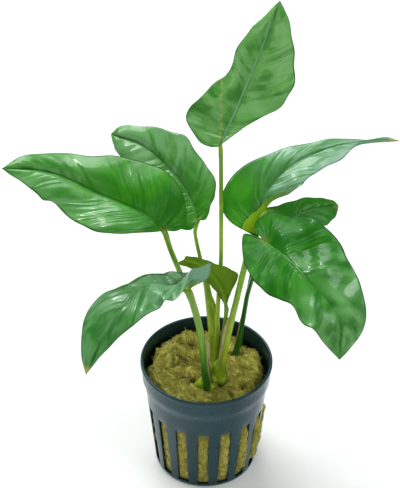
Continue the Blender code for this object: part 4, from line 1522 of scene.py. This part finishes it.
class WoolSettings(bpy.types.PropertyGroup):
    fibres: IntProperty(name="Fibres", description="Number of loose fibres", default=3600, min=0)
    light: colour_property("Light wool", "Colour of the wool where it is dry", (0.56, 0.52, 0.125))
    dark: colour_property("Dark wool", "Colour of the wool where it is damp", (0.23, 0.20, 0.028))


class LeafSettings(bpy.types.PropertyGroup):
    blade_thickness: length_property("Blade thickness", "Thickness of a blade beside its midrib", 0.0006)
    quilt: FloatProperty(name="Quilting", description="Depth of the quilting between veins", default=1.0)
    deep_green: colour_property("Deep green", "Darkest green of the upper side", (0.006, 0.140, 0.002))
    fresh_green: colour_property("Fresh green", "Lightest green of the upper side", (0.050, 0.275, 0.007))
    # The two colours of the painted sheen that stands in for the lamps' reflection on the wax.
    waxy_sheen: colour_property("Wax", "Pale green where the wax blooms", (0.13, 0.36, 0.07))
    haze: colour_property("Haze", "Bluish grey where the wax is thickest", (0.22, 0.40, 0.26))
    underside: colour_property("Underside", "Yellow-green of the underside", (0.26, 0.46, 0.010))
    ripe: colour_property("Ripe", "Colour of a tip that yellows", (0.42, 0.40, 0.10))


class StalkSettings(bpy.types.PropertyGroup):
    green: colour_property("Green", "Colour of the stalks", (0.20, 0.38, 0.03))
    dark_green: colour_property("Dark green", "Colour of the older stalks", (0.035, 0.17, 0.02))
    foot: colour_property("Foot", "Colour of the stalks' feet", (0.42, 0.56, 0.035))
    rhizome: colour_property("Rhizome", "Colour of the rhizome", (0.23, 0.42, 0.02))
    sheath: colour_property("Sheath", "Colour of the papery sheaths", (0.50, 0.47, 0.22))
    sheath_stain: colour_property("Sheath stain", "Stains on the papery sheaths", (0.34, 0.24, 0.08))


class StageSettings(bpy.types.PropertyGroup):
    floor: colour_property("Floor", "Colour of the floor", (0.93, 0.93, 0.93))
    fill: colour_property("Fill", "Colour of the light from all round", (0.95, 0.98, 1.0))
    fill_strength: FloatProperty(name="Fill strength", description="Light from all round", default=0.24)
    light: FloatProperty(name="Light", description="Strength of all the lamps", default=1.0)
    elevation: FloatProperty(
        name="Elevation", description="Height of the view", default=math.radians(38.3), subtype="ANGLE"
    )
    roll: FloatProperty(name="Roll", description="Roll of the view", default=math.radians(0.6), subtype="ANGLE")
    distance: length_property("Distance", "Distance of the camera from its target", 0.7)
    focal_pixels: FloatProperty(name="Focal length", description="In pixels of the picture", default=1775.0)
    target: FloatVectorProperty(
        name="Target", description="What the camera looks at", default=(-0.0032, 0.0, 0.1146), subtype="TRANSLATION"
    )


class ANUBIAS_PT_panel(bpy.types.Panel):
    """Lists the settings and the steps that build the plant"""

    bl_idname = "ANUBIAS_PT_panel"
    bl_label = "Potted anubias"
    bl_space_type = "VIEW_3D"
    bl_region_type = "UI"
    bl_category = "Anubias"

    def draw(self, context):
        for group, operator in STEPS:
            box = self.layout.box()
            settings = getattr(context.scene, group)
            for key in settings.bl_rna.properties.keys():
                if key not in ("rna_type", "name"):
                    box.prop(settings, key)
            box.operator(operator.bl_idname)


GROUPS = {
    "anubias_pot": PotSettings,
    "anubias_wool": WoolSettings,
    "anubias_leaves": LeafSettings,
    "anubias_stalks": StalkSettings,
    "anubias_stage": StageSettings,
}
STEPS = (
    ("anubias_pot", ANUBIAS_OT_pot),
    ("anubias_wool", ANUBIAS_OT_wool),
    ("anubias_stalks", ANUBIAS_OT_rhizome),
    ("anubias_stalks", ANUBIAS_OT_stalks),
    ("anubias_leaves", ANUBIAS_OT_leaves),
    ("anubias_stage", ANUBIAS_OT_stage),
)
CLASSES = (*GROUPS.values(), *(operator for _, operator in STEPS), ANUBIAS_PT_panel)


def register():
    for made in CLASSES:
        bpy.utils.register_class(made)
    for name, group in GROUPS.items():
        setattr(bpy.types.Scene, name, PointerProperty(type=group))


def unregister():
    for name in GROUPS:
        delattr(bpy.types.Scene, name)
    for made in reversed(CLASSES):
        bpy.utils.unregister_class(made)


def main():
    register()
    bpy.ops.anubias.pot()
    bpy.ops.anubias.wool()
    bpy.ops.anubias.rhizome()
    bpy.ops.anubias.stalks()
    bpy.ops.anubias.leaves()
    bpy.ops.anubias.stage()


if __name__ == "__main__":
    main()
